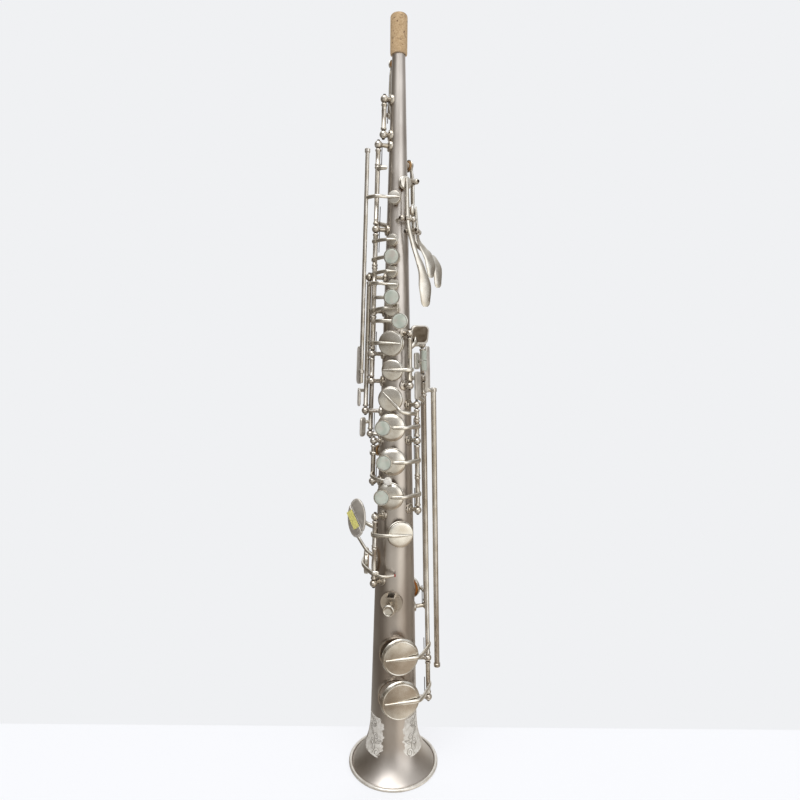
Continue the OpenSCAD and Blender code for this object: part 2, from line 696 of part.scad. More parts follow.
module rh3_key() rh_key(rh3, rh_tubes[0]);
module rh2_key() rh_key(rh2, rh_tubes[1]);
module rh1_key() rh_key(rh1, rh_tubes[2]);
module rh3_pearl() rh_pearl(rh3);
module rh2_pearl() rh_pearl(rh2);
module rh1_pearl() rh_pearl(rh1);

// F sharp: its arm leaves the rod low and crosses the cup on the slant
fs_spin = -46;
fs_past = 3.6;
fs_arm_t = fs_tube[0] + 5.2;

module f_sharp_key() color(KEY_SILVER) swing(rh_rod, rh_open) difference() {
  d = turn_to(rh_rod, fs);
  h = top_h(fs[2]) + arm_t / 2;
  out = fs[2] + fs_past;
  start = sec(fs[0], d, h, out * cos(fs_spin));
  union() {
    hinge_tube(rh_rod, fs_tube);
    link(rh_rod, fs_arm_t, fs[0] + out * sin(fs_spin) + over, [sec(fs[0], d * 0.36, 10), start], arm_w, arm_w);
    rib(fs, d, 0.8, fs_spin, fs_past);
    cup(rh_rod, fs);
  }
  rod_bore(rh_rod, fs_tube);
}

g_touch = [at(386), 29.6];
g_face = -8;

module g_sharp_key() color(KEY_SILVER) rod_frame(g_rod) difference() {
  p = sec(g_touch[0], g_touch[1], 10);
  tube = between(g_posts);
  union() {
    hinge_tube(g_rod, tube);
    cup_arm(g_rod, gs, gs[0]);
    cup(g_rod, gs);
    link(g_rod, g_touch[0] - 11, g_touch[0] - 3, [sec(g_touch[0], 14, 11), p], 4, 7);
    plate(p, g_touch[0], g_face, 16, 15, 4);
  }
  rod_bore(g_rod, tube);
}

// Left-hand stack
lh_split = all_at([402, 429, 442.5]);
lh3_tube = [above(lh_posts[1]), lh_split[0] - end_play];
lh2_tube = [lh_split[0], lh_split[1] - end_play];
bis_tube = [lh_split[1], lh_split[2] - end_play];
lh1_tube = [lh_split[2], below(lh_posts[2])];
lh3_touch = [at(397), 13];
lh2_touch = [at(416), -3];
touch_h = 10.5;

module touch_arm(rod, spot, t_rod, h) {
  d = spot[1] - rod[0];
  end = sec(spot[0], d, h + 0.2, near_side(d) * bezel_d * 0.3);
  knee = sec(spot[0], d * 0.45, h + 1.8);
  link(rod, t_rod, spot[0], [knee, end]);
  bezel(spot[0], d, 0, h);
}

module lh3_key() color(KEY_SILVER) swing(lh_rod, -lh_open) difference() {
  union() {
    hinge_tube(lh_rod, lh3_tube);
    cup_arm(lh_rod, lh3, lh3[0]);
    cup(lh_rod, lh3);
    touch_arm(lh_rod, lh3_touch, lh3_touch[0] - over, touch_h);
  }
  rod_bore(lh_rod, lh3_tube);
}

module lh3_pearl() swing(lh_rod, -lh_open) pearl(lh3_touch[0], lh3_touch[1] - lh_rod[0], 0, touch_h);

module lh2_key() color(KEY_SILVER) swing(lh_rod, -lh_open) difference() {
  union() {
    hinge_tube(lh_rod, lh2_tube);
    cup_arm(lh_rod, lh2, lh2[0] - 2);
    cup(lh_rod, lh2);
    touch_arm(lh_rod, lh2_touch, lh2_touch[0] + over, touch_h);
  }
  rod_bore(lh_rod, lh2_tube);
}

module lh2_pearl() swing(lh_rod, -lh_open) pearl(lh2_touch[0], lh2_touch[1] - lh_rod[0], 0, touch_h);

module bis_key() color(KEY_SILVER) swing(lh_rod, -lh_open) difference() {
  union() {
    hinge_tube(lh_rod, bis_tube);
    cup_arm(lh_rod, bis, bis[0] - 1.6, 0.75);
    cup(lh_rod, bis);
  }
  rod_bore(lh_rod, bis_tube);
}

module lh1_key() color(KEY_SILVER) swing(lh_rod, -lh_open) difference() {
  d = turn_to(lh_rod, lh1);
  union() {
    hinge_tube(lh_rod, lh1_tube);
    cup_arm(lh_rod, lh1, lh1[0] - over, 0);
    cup(lh_rod, lh1);
    bezel(lh1[0], d, 0, top_h(lh1[2]) + arm_t / 2);
    seat(lh1[0], d) translate([0, 0, top_h(lh1[2]) - bezel_sink]) cylinder(d = bezel_d * 0.6, h = arm_t);
    cup_arm(lh_rod, c_vent, c_vent[0], 0.7);
    cup(lh_rod, c_vent);
  }
  rod_bore(lh_rod, lh1_tube);
}

module lh1_pearl() swing(lh_rod, -lh_open) pearl(lh1[0], turn_to(lh_rod, lh1), 0, top_h(lh1[2]) + arm_t / 2);

// Side keys: blades at the right hand's palm, edge-on from the front
blade_w = 9;
blade_t = 2;
blade_r = 3.5;

// Blade standing on the point [x, y] of the section over the span t, turned by the angle face
module blade(x, y, span, face) translate([x, y, span[0]]) rotate([0, 0, face])
  translate([-blade_t / 2, -blade_w, 0]) rotate([90, 0, 90]) linear_extrude(blade_t)
  polygon([for (p = round_plate(blade_w, span[1] - span[0], blade_r)) p + [blade_w, span[1] - span[0]] / 2]);

side_c_blade = [at(324), at(340)];

module side_c_key() color(KEY_SILVER) rod_frame(side_rod) difference() {
  x = rod_x(side_rod);
  d = turn_to(side_rod, side_c);
  h = top_h(side_c[2]) + arm_t / 2;
  t = side_c[0] + 0.6;
  tube = between(side_posts);
  union() {
    hinge_tube(side_rod, tube);
    link(side_rod, t, t + 0.4, [sec(t, 20, 13.6), sec(t, 44, 11.8), sec(t, d, h, -side_c[2])], 4, 3);
    rib(side_c, d, 0.9);
    cup(side_rod, side_c);
    along_rod(side_c_blade[1] - 1.5, arm_h) bar([[x, 0], [x + 5, -3]], [3, 3]);
    blade(x + 5.2, -1, side_c_blade, 8);
  }
  rod_bore(side_rod, tube);
}

side_b_blade = [at(298), at(315)];

module side_b_flat_key() color(KEY_SILVER) rod_frame(back_rod) difference() {
  x = rod_x(back_rod);
  tube = between(back_posts);
  union() {
    hinge_tube(back_rod, tube);
    cup_arm(back_rod, side_bb, side_bb[0]);
    cup(back_rod, side_bb);
    along_rod(side_b_blade[1] - 4, arm_h) bar([[x, 0], [x + 6, 3.4]], [3, 3]);
    blade(x + 6, 11, side_b_blade, -10);
  }
  rod_bore(back_rod, tube);
}

// High E: hinged at both ends of the left-hand rod, on a bypass rod outside the stack
e_upper = [at(524), below(lh_posts[3])];
e_lower = between(lh_posts);
e_cross = [e_lower[0] + 4, e_upper[1] - 2.4];
e_blade = [at(344), at(376)];

module high_e_key() color(KEY_SILVER) rod_frame(lh_rod) difference() {
  x = rod_x(lh_rod);
  d = turn_to(lh_rod, side_e);
  h = top_h(side_e[2]) + arm_t / 2;
  t = side_e[0];
  union() {
    hinge_tube(lh_rod, e_upper);
    hinge_tube(lh_rod, e_lower);
    for (c = e_cross) cross_arm(lh_rod, c, high_bypass_off, high_bypass_d);
    bypass(lh_rod, [e_blade[0] + over, e_cross[1] + over], high_bypass_off, high_bypass_d);
    along_rod(t, arm_h) bar([[x + high_bypass_off, 0], sec(t, 24, 14.5), sec(t, d, h, -side_e[2])],
      [arm_t, arm_t, arm_t]);
    rib(side_e, d, 0.9);
    cup(lh_rod, side_e);
    blade(x + high_bypass_off, 0, e_blade, 8);
  }
  rod_bore(lh_rod, [e_lower[0], e_upper[1]]);
}

trill_touch = [at(266), 54.5];

module trill_key() color(KEY_SILVER) rod_frame(trill_rod) difference() {
  t = trill_touch[0];
  tube = between(trill_posts);
  union() {
    hinge_tube(trill_rod, tube);
    cup_arm(trill_rod, trill, trill[0]);
    cup(trill_rod, trill);
    link(trill_rod, t + 2.4, t, [sec(t, 16, 12), sec(t, 34, 15.2), sec(t, trill_touch[1], 15.6)], 3, 2.4);
    seat(t, trill_touch[1]) translate([0, 0, 15.2]) cylinder(d = 7, h = plate_t);
  }
  rod_bore(trill_rod, tube);
}

// Palm keys rock on hinges square to the bore: cup above the hinge, spatula below it.
// plan holds the points [offset, height over the hinge] of the lever below it and widths its width at each;
// steps holds the points [height above the skin, height over the hinge] of the lever's bends.
module palm_key(p, plan, widths, steps) color(KEY_SILVER) rod_frame([p[0][1], palm_h]) difference() {
  hole = p[0];
  tip_z = hole[0] + hole[2] * 0.65;
  outline = concat([[0, tip_z], [0, p[1]]], [for (q = plan) [q[0], p[1] + q[1]]]);
  cup_x = skin_x + top_h(hole[2]) + arm_t / 2;
  side_path = concat([[cup_x, hole[0] + hole[2] * 0.6], [cup_x, hole[0] - 4], [palm_x, p[1]]],
    [for (q = steps) [skin_x + q[0], p[1] + q[1]]]);
  union() {
    palm_pin(p, tube_r, palm_tube);
    intersection() {
      translate([0, deep, 0]) rotate([90, 0, 0]) linear_extrude(2 * deep)
        bar(side_path, [for (q = side_path) arm_t]);
      translate([-deep / 2, 0, 0]) in_plan() bar(outline, concat([arm_w * 0.55, arm_w], widths));
    }
    cup([hole[1], 0], hole);
  }
  palm_pin(p, bore_r, 2 * palm_tube);
}

module palm_d_key() palm_key(PALMS[0], [[3, -14], [9, -31], [12.4, -42], [15, -57], [15.2, -68]],
  [4, 4.4, 6.6, 9.4, 5], [[8.2, -10], [9, -30], [11, -44], [10.5, -70]]);

module palm_e_flat_key() palm_key(PALMS[1], [[1, -9], [3.4, -17], [5.4, -25], [5.6, -35]],
  [4, 6, 8.4, 5], [[8.2, -7], [13, -17], [17, -23], [18, -37]]);

module palm_f_key() palm_key(PALMS[2], [[0, -47], [-8, -59], [-12, -71], [-12, -85]],
  [4, 5, 8, 4.6], [[8.4, -30], [11, -54], [22, -63], [26, -70], [26, -87]]);

// Octave mechanism: the thumb lever turns the inner tube, whose finger works the neck key
octave_tube = [above(lh_posts[2]), e_upper[0] - end_play];
octave_t = [octave_tube[0] + 3.4, octave_tube[0] - 12.6];
octave_turn = -100;

module octave_lever() color(KEY_SILVER) rod_frame(lh_rod) difference() {
  x = rod_x(lh_rod);
  t = octave_t[0];
  union() {
    hinge_tube(lh_rod, octave_tube);
    along_rod(t, 4) bar([[x, 0], sec(t, -24, 9), sec(t, -52, 7), sec(t, -80, 6), sec(t, octave_turn, 5.4)],
      [3, 2.6, 2.4, 2.4, 2.4]);
    intersection() {
      along_rod(octave_t[1], 36)
        bar([sec(octave_t[1], octave_turn + 6, 5.2), sec(octave_t[1], octave_turn - 6, 5.2)], [2.4, 2.4]);
      seat(octave_t[1], octave_turn) translate([0, 0, -deep / 2]) linear_extrude(deep)
        bar([[-18, 0], [6, 0], [16, 0]], [4.4, 5, 9.6]);
    }
    along_rod(octave_tube[1] - 2.5, 4) bar([[x, 0], [x - 1, 5], [x - 4.5, 7.5]], [3, 2.6, 2.2]);
  }
  rod_bore(lh_rod, octave_tube);
}

// Neck octave key: an arm round the back carries a bar up to the small cup behind the neck
module neck_octave_key() color(KEY_SILVER) rod_frame(neck_rod) difference() {
  x = rod_x(neck_rod);
  d = turn_to(neck_rod, octave);
  h = top_h(octave[2]) + arm_t / 2;
  t = neck_posts[0] + octave_arm_up;
  tube = between(neck_posts);
  union() {
    hinge_tube(neck_rod, tube);
    along_rod(t, 4) bar([[x, 0], sec(t, d * 0.35, 6.4), sec(t, d * 0.7, 6.8), sec(t, d, h)], [3, 2.4, 2.4, 2.4]);
    seat(octave[0], d) translate([0, 0, h - arm_t / 2]) linear_extrude(arm_t)
      bar([[octave[0] - t + 2, 0], [-octave[2] * 0.6, 0]], [3.4, 2]);
    cup(neck_rod, octave);
  }
  rod_bore(neck_rod, tube);
}

// Pads
module felt_pad(rod, hole, open = 0) color(FELT) swing(rod, open) pad(rod, hole);
module low_bb_pad() felt_pad(low_rod, low_bb, low_open);
module low_b_pad() felt_pad(low_rod, low_b, low_open);
module low_c_sharp_pad() felt_pad(sharp_rod, low_cs);
module low_c_pad() felt_pad(pinky_rod, low_c, c_open);
module e_flat_pad() felt_pad(pinky_rod, eb);
module rh3_pad() felt_pad(rh_rod, rh3, rh_open);
module rh2_pad() felt_pad(rh_rod, rh2, rh_open);
module rh1_pad() felt_pad(rh_rod, rh1, rh_open);
module f_sharp_pad() felt_pad(rh_rod, fs, rh_open);
module g_sharp_pad() felt_pad(g_rod, gs);
module lh3_pad() felt_pad(lh_rod, lh3, -lh_open);
module lh2_pad() felt_pad(lh_rod, lh2, -lh_open);
module bis_pad() felt_pad(lh_rod, bis, -lh_open);
module lh1_pads() {
  felt_pad(lh_rod, lh1, -lh_open);
  felt_pad(lh_rod, c_vent, -lh_open);
}
module side_c_pad() felt_pad(side_rod, side_c);
module side_b_flat_pad() felt_pad(back_rod, side_bb);
module high_e_pad() felt_pad(lh_rod, side_e);
module trill_pad() felt_pad(trill_rod, trill);
module palm_d_pad() felt_pad([palm_d[1], 0], palm_d);
module palm_e_flat_pad() felt_pad([palm_eb[1], 0], palm_eb);
module palm_f_pad() felt_pad([palm_f[1], 0], palm_f);
module neck_octave_pad() felt_pad(neck_rod, octave);

bell();
bell_tone_holes();
body_tube();
tone_holes();
neck_cork();
key_posts();
hinge_rods();
needle_springs();
thumb_hook();
thumb_rest();
lyre_socket();
lyre_screw();
low_bb_key();
low_b_key();
low_c_sharp_key();
low_c_key();
e_flat_key();
rh3_key();
rh2_key();
rh1_key();
f_sharp_key();
g_sharp_key();
lh3_key();
lh2_key();
bis_key();
lh1_key();
side_c_key();
side_b_flat_key();
high_e_key();
trill_key();
palm_d_key();
palm_e_flat_key();
palm_f_key();
octave_lever();
neck_octave_key();
low_bb_pad();
low_b_pad();
low_c_sharp_pad();
low_c_pad();
e_flat_pad();
rh3_pad();
rh2_pad();
rh1_pad();
f_sharp_pad();
g_sharp_pad();
lh3_pad();
lh2_pad();
bis_pad();
lh1_pads();
side_c_pad();
side_b_flat_pad();
high_e_pad();
trill_pad();
palm_d_pad();
palm_e_flat_pad();
palm_f_pad();
neck_octave_pad();
rh1_pearl();
rh2_pearl();
rh3_pearl();
lh1_pearl();
lh2_pearl();
lh3_pearl();
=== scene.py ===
"""Looks of a straight soprano saxophone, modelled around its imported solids.

Sizes are in millimetres until a mesh is made, and meshes are in metres, in the frame of the solids: +Z runs
up the bore from the bell rim, -Y is the front of the horn, and angles are counted from the front towards +X.
"""

import logging
import math
from contextlib import contextmanager
from dataclasses import dataclass, field
from enum import Enum
from functools import partial
from typing import Any, Callable, Iterator, Sequence

import bpy
from mathutils import Matrix, Vector


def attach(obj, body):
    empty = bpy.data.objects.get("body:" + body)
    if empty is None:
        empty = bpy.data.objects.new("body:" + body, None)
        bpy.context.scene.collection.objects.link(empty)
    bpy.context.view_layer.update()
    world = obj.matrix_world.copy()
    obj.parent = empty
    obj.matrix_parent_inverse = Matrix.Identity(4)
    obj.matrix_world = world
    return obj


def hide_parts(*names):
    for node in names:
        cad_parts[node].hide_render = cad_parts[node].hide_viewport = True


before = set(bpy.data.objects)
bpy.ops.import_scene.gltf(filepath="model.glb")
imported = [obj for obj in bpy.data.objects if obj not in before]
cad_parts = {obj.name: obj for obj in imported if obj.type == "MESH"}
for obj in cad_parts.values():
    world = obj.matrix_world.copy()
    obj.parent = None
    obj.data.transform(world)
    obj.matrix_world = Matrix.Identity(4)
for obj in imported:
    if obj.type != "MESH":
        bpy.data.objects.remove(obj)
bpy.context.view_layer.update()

logging.basicConfig(level=logging.INFO, format="%(message)s")
log = logging.getLogger("saxophone")

MM = 0.001
PER_M = 1000.0
# Points closer than this are merged
WELD = 0.002 * MM
Profile = Sequence[tuple[float, float]]
Piece = bpy.types.Object
Adder = Callable[..., Any]
# Numbers of a mix node's inputs: its factor, two values and two colours
FACTOR, VALUE_A, VALUE_B, COLOUR_A, COLOUR_B = 0, 2, 3, 6, 7


class Slot(Enum):
    """The record's material slots."""

    BODY = "body_silver"
    KEYS = "key_silver"
    STEEL = "steel"
    PADS = "pad_leather"
    PEARL = "pearl"
    CORK = "cork"


def hex_linear(code: str) -> tuple[float, float, float, float]:
    """Turns an sRGB hex colour into linear RGBA.

    Args:
        code: colour as "#rrggbb".

    Returns:
        The linear colour with alpha 1.
    """
    parts = [int(code[i : i + 2], 16) / 255 for i in (1, 3, 5)]
    red, green, blue = (c / 12.92 if c <= 0.04045 else ((c + 0.055) / 1.055) ** 2.4 for c in parts)
    return red, green, blue, 1.0


def add_node(
    tree: bpy.types.NodeTree, kind: str, inputs: dict[Any, Any] | Sequence[Any] = (), **settings: Any
) -> Any:
    """Adds a node to a tree, with its settings, values and links.

    Args:
        tree: node tree that takes the node.
        kind: node type without its "ShaderNode" prefix.
        inputs: what each input gets, by name or number, or a list in their order: a value, a hex colour,
            a socket, or a node, whose first output in use is linked.
        settings: attributes of the node.

    Returns:
        The new node.
    """
    node = tree.nodes.new("ShaderNode" + kind)
    for name, value in settings.items():
        setattr(node, name, value)
    for key, value in inputs.items() if isinstance(inputs, dict) else enumerate(inputs):
        if isinstance(value, bpy.types.Node):
            value = next(socket for socket in value.outputs if socket.enabled)
        if isinstance(value, bpy.types.NodeSocket):
            tree.links.new(value, node.inputs[key])
        else:
            node.inputs[key].default_value = hex_linear(value) if isinstance(value, str) else value
    return node


def empty_tree(owner: bpy.types.ID) -> Adder:
    """Empties the node tree of a material or world.

    Args:
        owner: the material or world.

    Returns:
        The node helper, bound to that tree.
    """
    owner.use_nodes = True
    owner.node_tree.nodes.clear()
    return partial(add_node, owner.node_tree)


def mottle(
    add: Adder, pattern: Any, low: float, high: float, first: Any, second: Any, most: float = 1.0
) -> Any:
    """Blends two colours by a pattern.

    Args:
        add: adds a node to the tree.
        pattern: node or socket of the pattern.
        low: its value that shows the first colour.
        high: its value that shows the second colour.
        first: hex colour or node.
        second: hex colour or node.
        most: largest share of the second colour.

    Returns:
        The node of the blended colour.
    """
    share = add("MapRange", [pattern, low, high, 0.0, most])
    return add("Mix", {FACTOR: share, COLOUR_A: first, COLOUR_B: second}, data_type="RGBA")


@dataclass(frozen=True)
class Finish:
    """A surface finish: its name, and the material that it makes once."""

    name: str

    def material(self) -> bpy.types.Material:
        """Makes the material on the first call.

        Returns:
            The material of this finish.
        """
        made = bpy.data.materials.get(self.name)
        if made is None:
            made = bpy.data.materials.new(self.name)
            add = empty_tree(made)
            shader = add("BsdfPrincipled", self.surface(add, add("TexCoord").outputs["Object"]))
            add("OutputMaterial", {"Surface": shader})
        return made

    def surface(self, add: Adder, where: Any) -> dict[str, Any]:
        """Builds the pattern.

        Args:
            add: adds a node to the material.
            where: socket of the object coordinates, in metres.

        Returns:
            Inputs of the surface shader.
        """
        raise NotImplementedError


@dataclass(frozen=True)
class SilverPlate(Finish):
    """Silver plate over brass, with brown patina and painted shade in its corners, and cloudy wear on its
    faces.
    """

    bright: str = "#e2dfd7"
    cloudy: str = "#cdc6ba"
    # Brown of the patina in hollows, which the occlusion below also lays on as painted shade
    tarnish_and_shade: str = "#6d5439"
    rough_low: float = 0.14
    rough_high: float = 0.27
    cloud_mm: float = 9.0
    # Reach of the occlusion, its span, the largest brown share and its fray: painted corner shade mixed with
    # patina
    corner_mm: float = 2.2
    corner_low: float = 0.2
    corner_high: float = 0.72
    corner_most: float = 0.8
    corner_fray: float = 0.12
    grain_mm: float = 0.35
    grain_depth: float = 0.006
    metallic: float = 1.0
    smears_per_cloud: float = 2.3
    cloud_span: tuple[float, float] = (0.38, 0.68)
    smear_span: tuple[float, float] = (0.3, 0.7)

    def surface(self, add: Adder, where: Any) -> dict[str, Any]:
        """Builds clouded silver with a fine grain, its corners browned by patina and by painted shade from
        occlusion (see Finish.surface).
        """
        cloud = add("TexNoise", {"Vector": where, "Scale": PER_M / self.cloud_mm, "Detail": 4.0})
        smear_scale = PER_M * self.smears_per_cloud / self.cloud_mm
        smear = add("TexNoise", {"Vector": where, "Scale": smear_scale, "Detail": 3.0})
        # Grit leaves a grain near 0.1 mm, which is drawn coarser so that it still softens the gleam
        grain = add("TexNoise", {"Vector": where, "Scale": PER_M / self.grain_mm, "Detail": 2.0})
        # Ambient occlusion browns the colour in corners and between parts: painted shade, which also stands
        # for the brown patina there
        corner = add("AmbientOcclusion", {"Distance": self.corner_mm * MM}, samples=8).outputs["AO"]
        fray = add("MapRange", [smear, *self.smear_span, -self.corner_fray, self.corner_fray])
        worn = add("Math", [corner, fray], operation="ADD")
        silver = mottle(add, cloud, *self.cloud_span, self.bright, self.cloudy)
        # The brown share follows the occlusion, frayed by the smears: painted corner shade together with
        # patina
        colour = mottle(add, worn, self.corner_high, self.corner_low, silver, self.tarnish_and_shade, self.corner_most)
        rough = add("MapRange", [smear, *self.smear_span, self.rough_low, self.rough_high])
        bump = add("Bump", {"Strength": 0.5, "Distance": self.grain_depth * MM, "Height": grain})
        return {"Base Color": colour, "Metallic": self.metallic, "Roughness": rough, "Normal": bump}


@dataclass(frozen=True)
class Steel(Finish):
    """Blued spring steel that has gone brown."""

    blue: str = "#57524d"
    brown: str = "#4a3826"
    cloud_mm: float = 3.85

    def surface(self, add: Adder, where: Any) -> dict[str, Any]:
        """Builds dark steel with rusty clouds (see Finish.surface)."""
        cloud = add("TexNoise", {"Vector": where, "Scale": PER_M / self.cloud_mm, "Detail": 4.0})
        colour = mottle(add, cloud, 0.4, 0.62, self.blue, self.brown)
        rough = add("MapRange", [cloud, 0.35, 0.65, 0.28, 0.5])
        return {"Base Color": colour, "Metallic": 1.0, "Roughness": rough}


@dataclass(frozen=True)
class KidLeather(Finish):
    """Thin kid leather over a felt pad: matt, with a fine pebble and darker rubbed patches."""

    fresh: str = "#b58a55"
    rubbed: str = "#7d5730"
    cloud_mm: float = 4.55
    pebble_mm: float = 0.385
    pebble_depth: float = 0.05

    def surface(self, add: Adder, where: Any) -> dict[str, Any]:
        """Builds pebbled tan leather (see Finish.surface)."""
        cloud = add("TexNoise", {"Vector": where, "Scale": PER_M / self.cloud_mm, "Detail": 3.0})
        pebble = add("TexVoronoi", {"Vector": where, "Scale": PER_M / self.pebble_mm})
        colour = mottle(add, cloud, 0.35, 0.68, self.fresh, self.rubbed)
        bump = add("Bump", {"Strength": 0.5, "Distance": self.pebble_depth * MM, "Height": pebble})
        return {"Base Color": colour, "Roughness": 0.62, "Normal": bump}


@dataclass(frozen=True)
class MotherOfPearl(Finish):
    """Ground and polished shell: pale layers that shift between green, rose and grey."""

    pale: str = "#a9ada1"
    green: str = "#999f93"
    rose: str = "#a79f95"
    layer_mm: float = 9.24
    cloud_mm: float = 4.76

    def surface(self, add: Adder, where: Any) -> dict[str, Any]:
        """Builds wavy shell layers under a polished face (see Finish.surface)."""
        # A wave texture of scale 1 repeats after a 20th of tau
        scale = math.tau / 20 * PER_M / self.layer_mm
        layers = {"Vector": where, "Scale": scale, "Distortion": 7.0, "Detail": 3.0, "Detail Scale": 1.6}
        wave = add("TexWave", layers).outputs["Fac"]
        cloud = add("TexNoise", {"Vector": where, "Scale": PER_M / self.cloud_mm, "Detail": 2.0})
        shell = mottle(add, wave, 0.15, 0.9, self.pale, self.green)
        colour = mottle(add, cloud, 0.5, 0.72, shell, self.rose, 0.8)
        return {"Base Color": colour, "Roughness": 0.2, "Coat Weight": 0.6, "Coat Roughness": 0.08}


@dataclass(frozen=True)
class NaturalCork(Finish):
    """Sheet cork, sanded round: warm tan grain with dark pits that run round the neck."""

    tan: str = "#bda380"
    deep: str = "#9c8059"
    pit: str = "#5a3c20"
    grain_mm: float = 1.43
    pit_mm: float = 3.03
    pit_flat: float = 1.9
    pit_depth: float = 0.25

    def surface(self, add: Adder, where: Any) -> dict[str, Any]:
        """Builds grainy cork with pits of one to three millimetres (see Finish.surface)."""
        flat = add("Mapping", {"Vector": where, "Scale": (1.0, 1.0, self.pit_flat)})
        grain = add("TexNoise", {"Vector": flat, "Scale": PER_M / self.grain_mm, "Detail": 5.0})
        blots = {"Vector": flat, "Scale": PER_M / self.pit_mm, "Detail": 3.0, "Roughness": 0.6}
        pits = add("MapRange", [add("TexNoise", blots), 0.61, 0.68])
        cork = mottle(add, grain, 0.35, 0.7, self.tan, self.deep)
        colour = mottle(add, pits, 0.0, 1.0, cork, self.pit)
        height = add("Math", [add("MapRange", [grain, 0.2, 0.8]), pits], operation="SUBTRACT")
        bump = add("Bump", {"Strength": 0.7, "Distance": self.pit_depth * MM, "Height": height})
        return {"Base Color": colour, "Roughness": 0.82, "Normal": bump}


@dataclass(frozen=True)
class Felt(Finish):
    """Pressed wool felt, or a worn coat of paint: one colour with fibres and faded patches."""

    colour: str = "#8c2a20"
    faded: str = "#6d2a22"
    fibre_mm: float = 1.11
    fibre_depth: float = 0.1

    def surface(self, add: Adder, where: Any) -> dict[str, Any]:
        """Builds a fibrous matt surface (see Finish.surface)."""
        fibre = add("TexNoise", {"Vector": where, "Scale": PER_M / self.fibre_mm, "Detail": 4.0})
        colour = mottle(add, fibre, 0.35, 0.65, self.colour, self.faded)
        bump = add("Bump", {"Strength": 0.6, "Distance": self.fibre_depth * MM, "Height": fibre})
        return {"Base Color": colour, "Roughness": 0.9, "Normal": bump}


# Sand-blasted silver plate: a broad soft gleam, clouded grey and warm, with painted shade and brown patina
# beside posts and chimneys.
SATIN = SilverPlate(
    "satin_silver_plate", "#d2ccc6", "#bab3ac", "#6b5640", 0.28, 0.38, cloud_mm=46.0, corner_mm=6.0,
    corner_low=0.15, corner_high=0.8, corner_most=0.85, grain_mm=0.5, grain_depth=0.02,
)
# Burnished silver plate on the keys: bright with soft smears, with painted shade and brown patina where arms
# meet cups and tubes.
POLISHED = SilverPlate("polished_silver_plate")
# Silver plate on the chimneys, kept bright by the pads.
CHIMNEY = SilverPlate("chimney_silver_plate", "#d2cabf", "#bcb2a4", "#8a7358", 0.25, 0.38, corner_most=0.4)
# Silver plate rubbed thin on tubes and posts, so that warm brass glows through it.
WORN = SilverPlate(
    "worn_silver_plate", "#d3cec6", "#b2a898", "#6a4f33", 0.1, 0.2, cloud_mm=13.0, corner_high=0.8,
    metallic=0.9,
)
# Silver plate that fingers have rubbed dull and grey.
RUBBED = SilverPlate(
    "rubbed_silver_plate", "#b0aaa1", "#969087", "#5c4a36", 0.38, 0.5, cloud_mm=7.0, metallic=0.55
)
# Silver plate on the touches and the bell's rim, which fingers and cloths keep pale and matt.
BUFFED = SilverPlate(
    "buffed_silver_plate", "#dedad3", "#c6c0b6", rough_low=0.28, rough_high=0.4, metallic=0.7
)
# Silver plate under a dark brown film, on a plate that is seldom touched.
BROWNED = SilverPlate("browned_silver_plate", "#7a7064", "#5f5548", "#43372a", 0.36, 0.5, cloud_mm=5.0)
# Silver that the engraver has frosted with fine cuts: the palest on the horn.
FROSTED = SilverPlate(
    "frosted_silver", "#dedbd4", "#c6c1b7", "#a0968a", 0.46, 0.6, cloud_mm=3.0, grain_depth=0.05,
    metallic=0.35,
)
# Silver cut by the engraver's tool: lines darkened by old polish.
ENGRAVED = SilverPlate("engraved_line", "#8b8276", "#6f665a", "#574a3b", 0.35, 0.5, cloud_mm=4.0)
# Spring steel, blued and then browned by age: dark, with a low gleam.
STEEL = Steel("browned_spring_steel")
# Tan kid leather of the pads, soft and matt, and one pad that oil has turned amber.
LEATHER = KidLeather("tan_kid_leather")
AMBER = KidLeather("amber_kid_leather", "#c07a2c", "#8f4f18")
# Mother-of-pearl of the touches: a polished face over pale layers.
PEARL = MotherOfPearl("mother_of_pearl")
# Sheet cork round the neck: matt, tan and pitted.
CORK = NaturalCork("sheet_cork")
# Red wool felt, and a coat of yellow paint that is nearly worn away.
RED_FELT = Felt("red_wool_felt")
YELLOW = Felt("worn_yellow_paint", "#c6c06e", "#aba462")


def select_only(piece: Piece) -> None:
    """Deselects everything, then selects one piece and makes it active.

    Args:
        piece: the piece.
    """
    for other in bpy.context.selected_objects:
        other.select_set(False)
    piece.select_set(True)
    bpy.context.view_layer.objects.active = piece


@contextmanager
def editing(piece: Piece) -> Iterator[None]:
    """Opens a piece in edit mode, with its whole mesh selected, and closes it afterwards.

    Args:
        piece: the piece.
    """
    select_only(piece)
    bpy.ops.object.mode_set(mode="EDIT")
    bpy.ops.mesh.select_all(action="SELECT")
    yield
    bpy.ops.object.mode_set(mode="OBJECT")


def move(x: float = 0.0, y: float = 0.0, z: float = 0.0) -> Matrix:
    """Matrix of a shift."""
    return Matrix.Translation((x, y, z))


def turn(degrees: float, axis: str) -> Matrix:
    """Matrix of a turn about an axis."""
    return Matrix.Rotation(math.radians(degrees), 4, axis)


def polar(r: float, degrees: float) -> tuple[float, float]:
    """Point at the distance r in a direction."""
    return r * math.cos(math.radians(degrees)), r * math.sin(math.radians(degrees))


# Turns that lay the local z axis along x and along -y
LIE_X = turn(90, "Y")
LIE_Y = turn(90, "X")


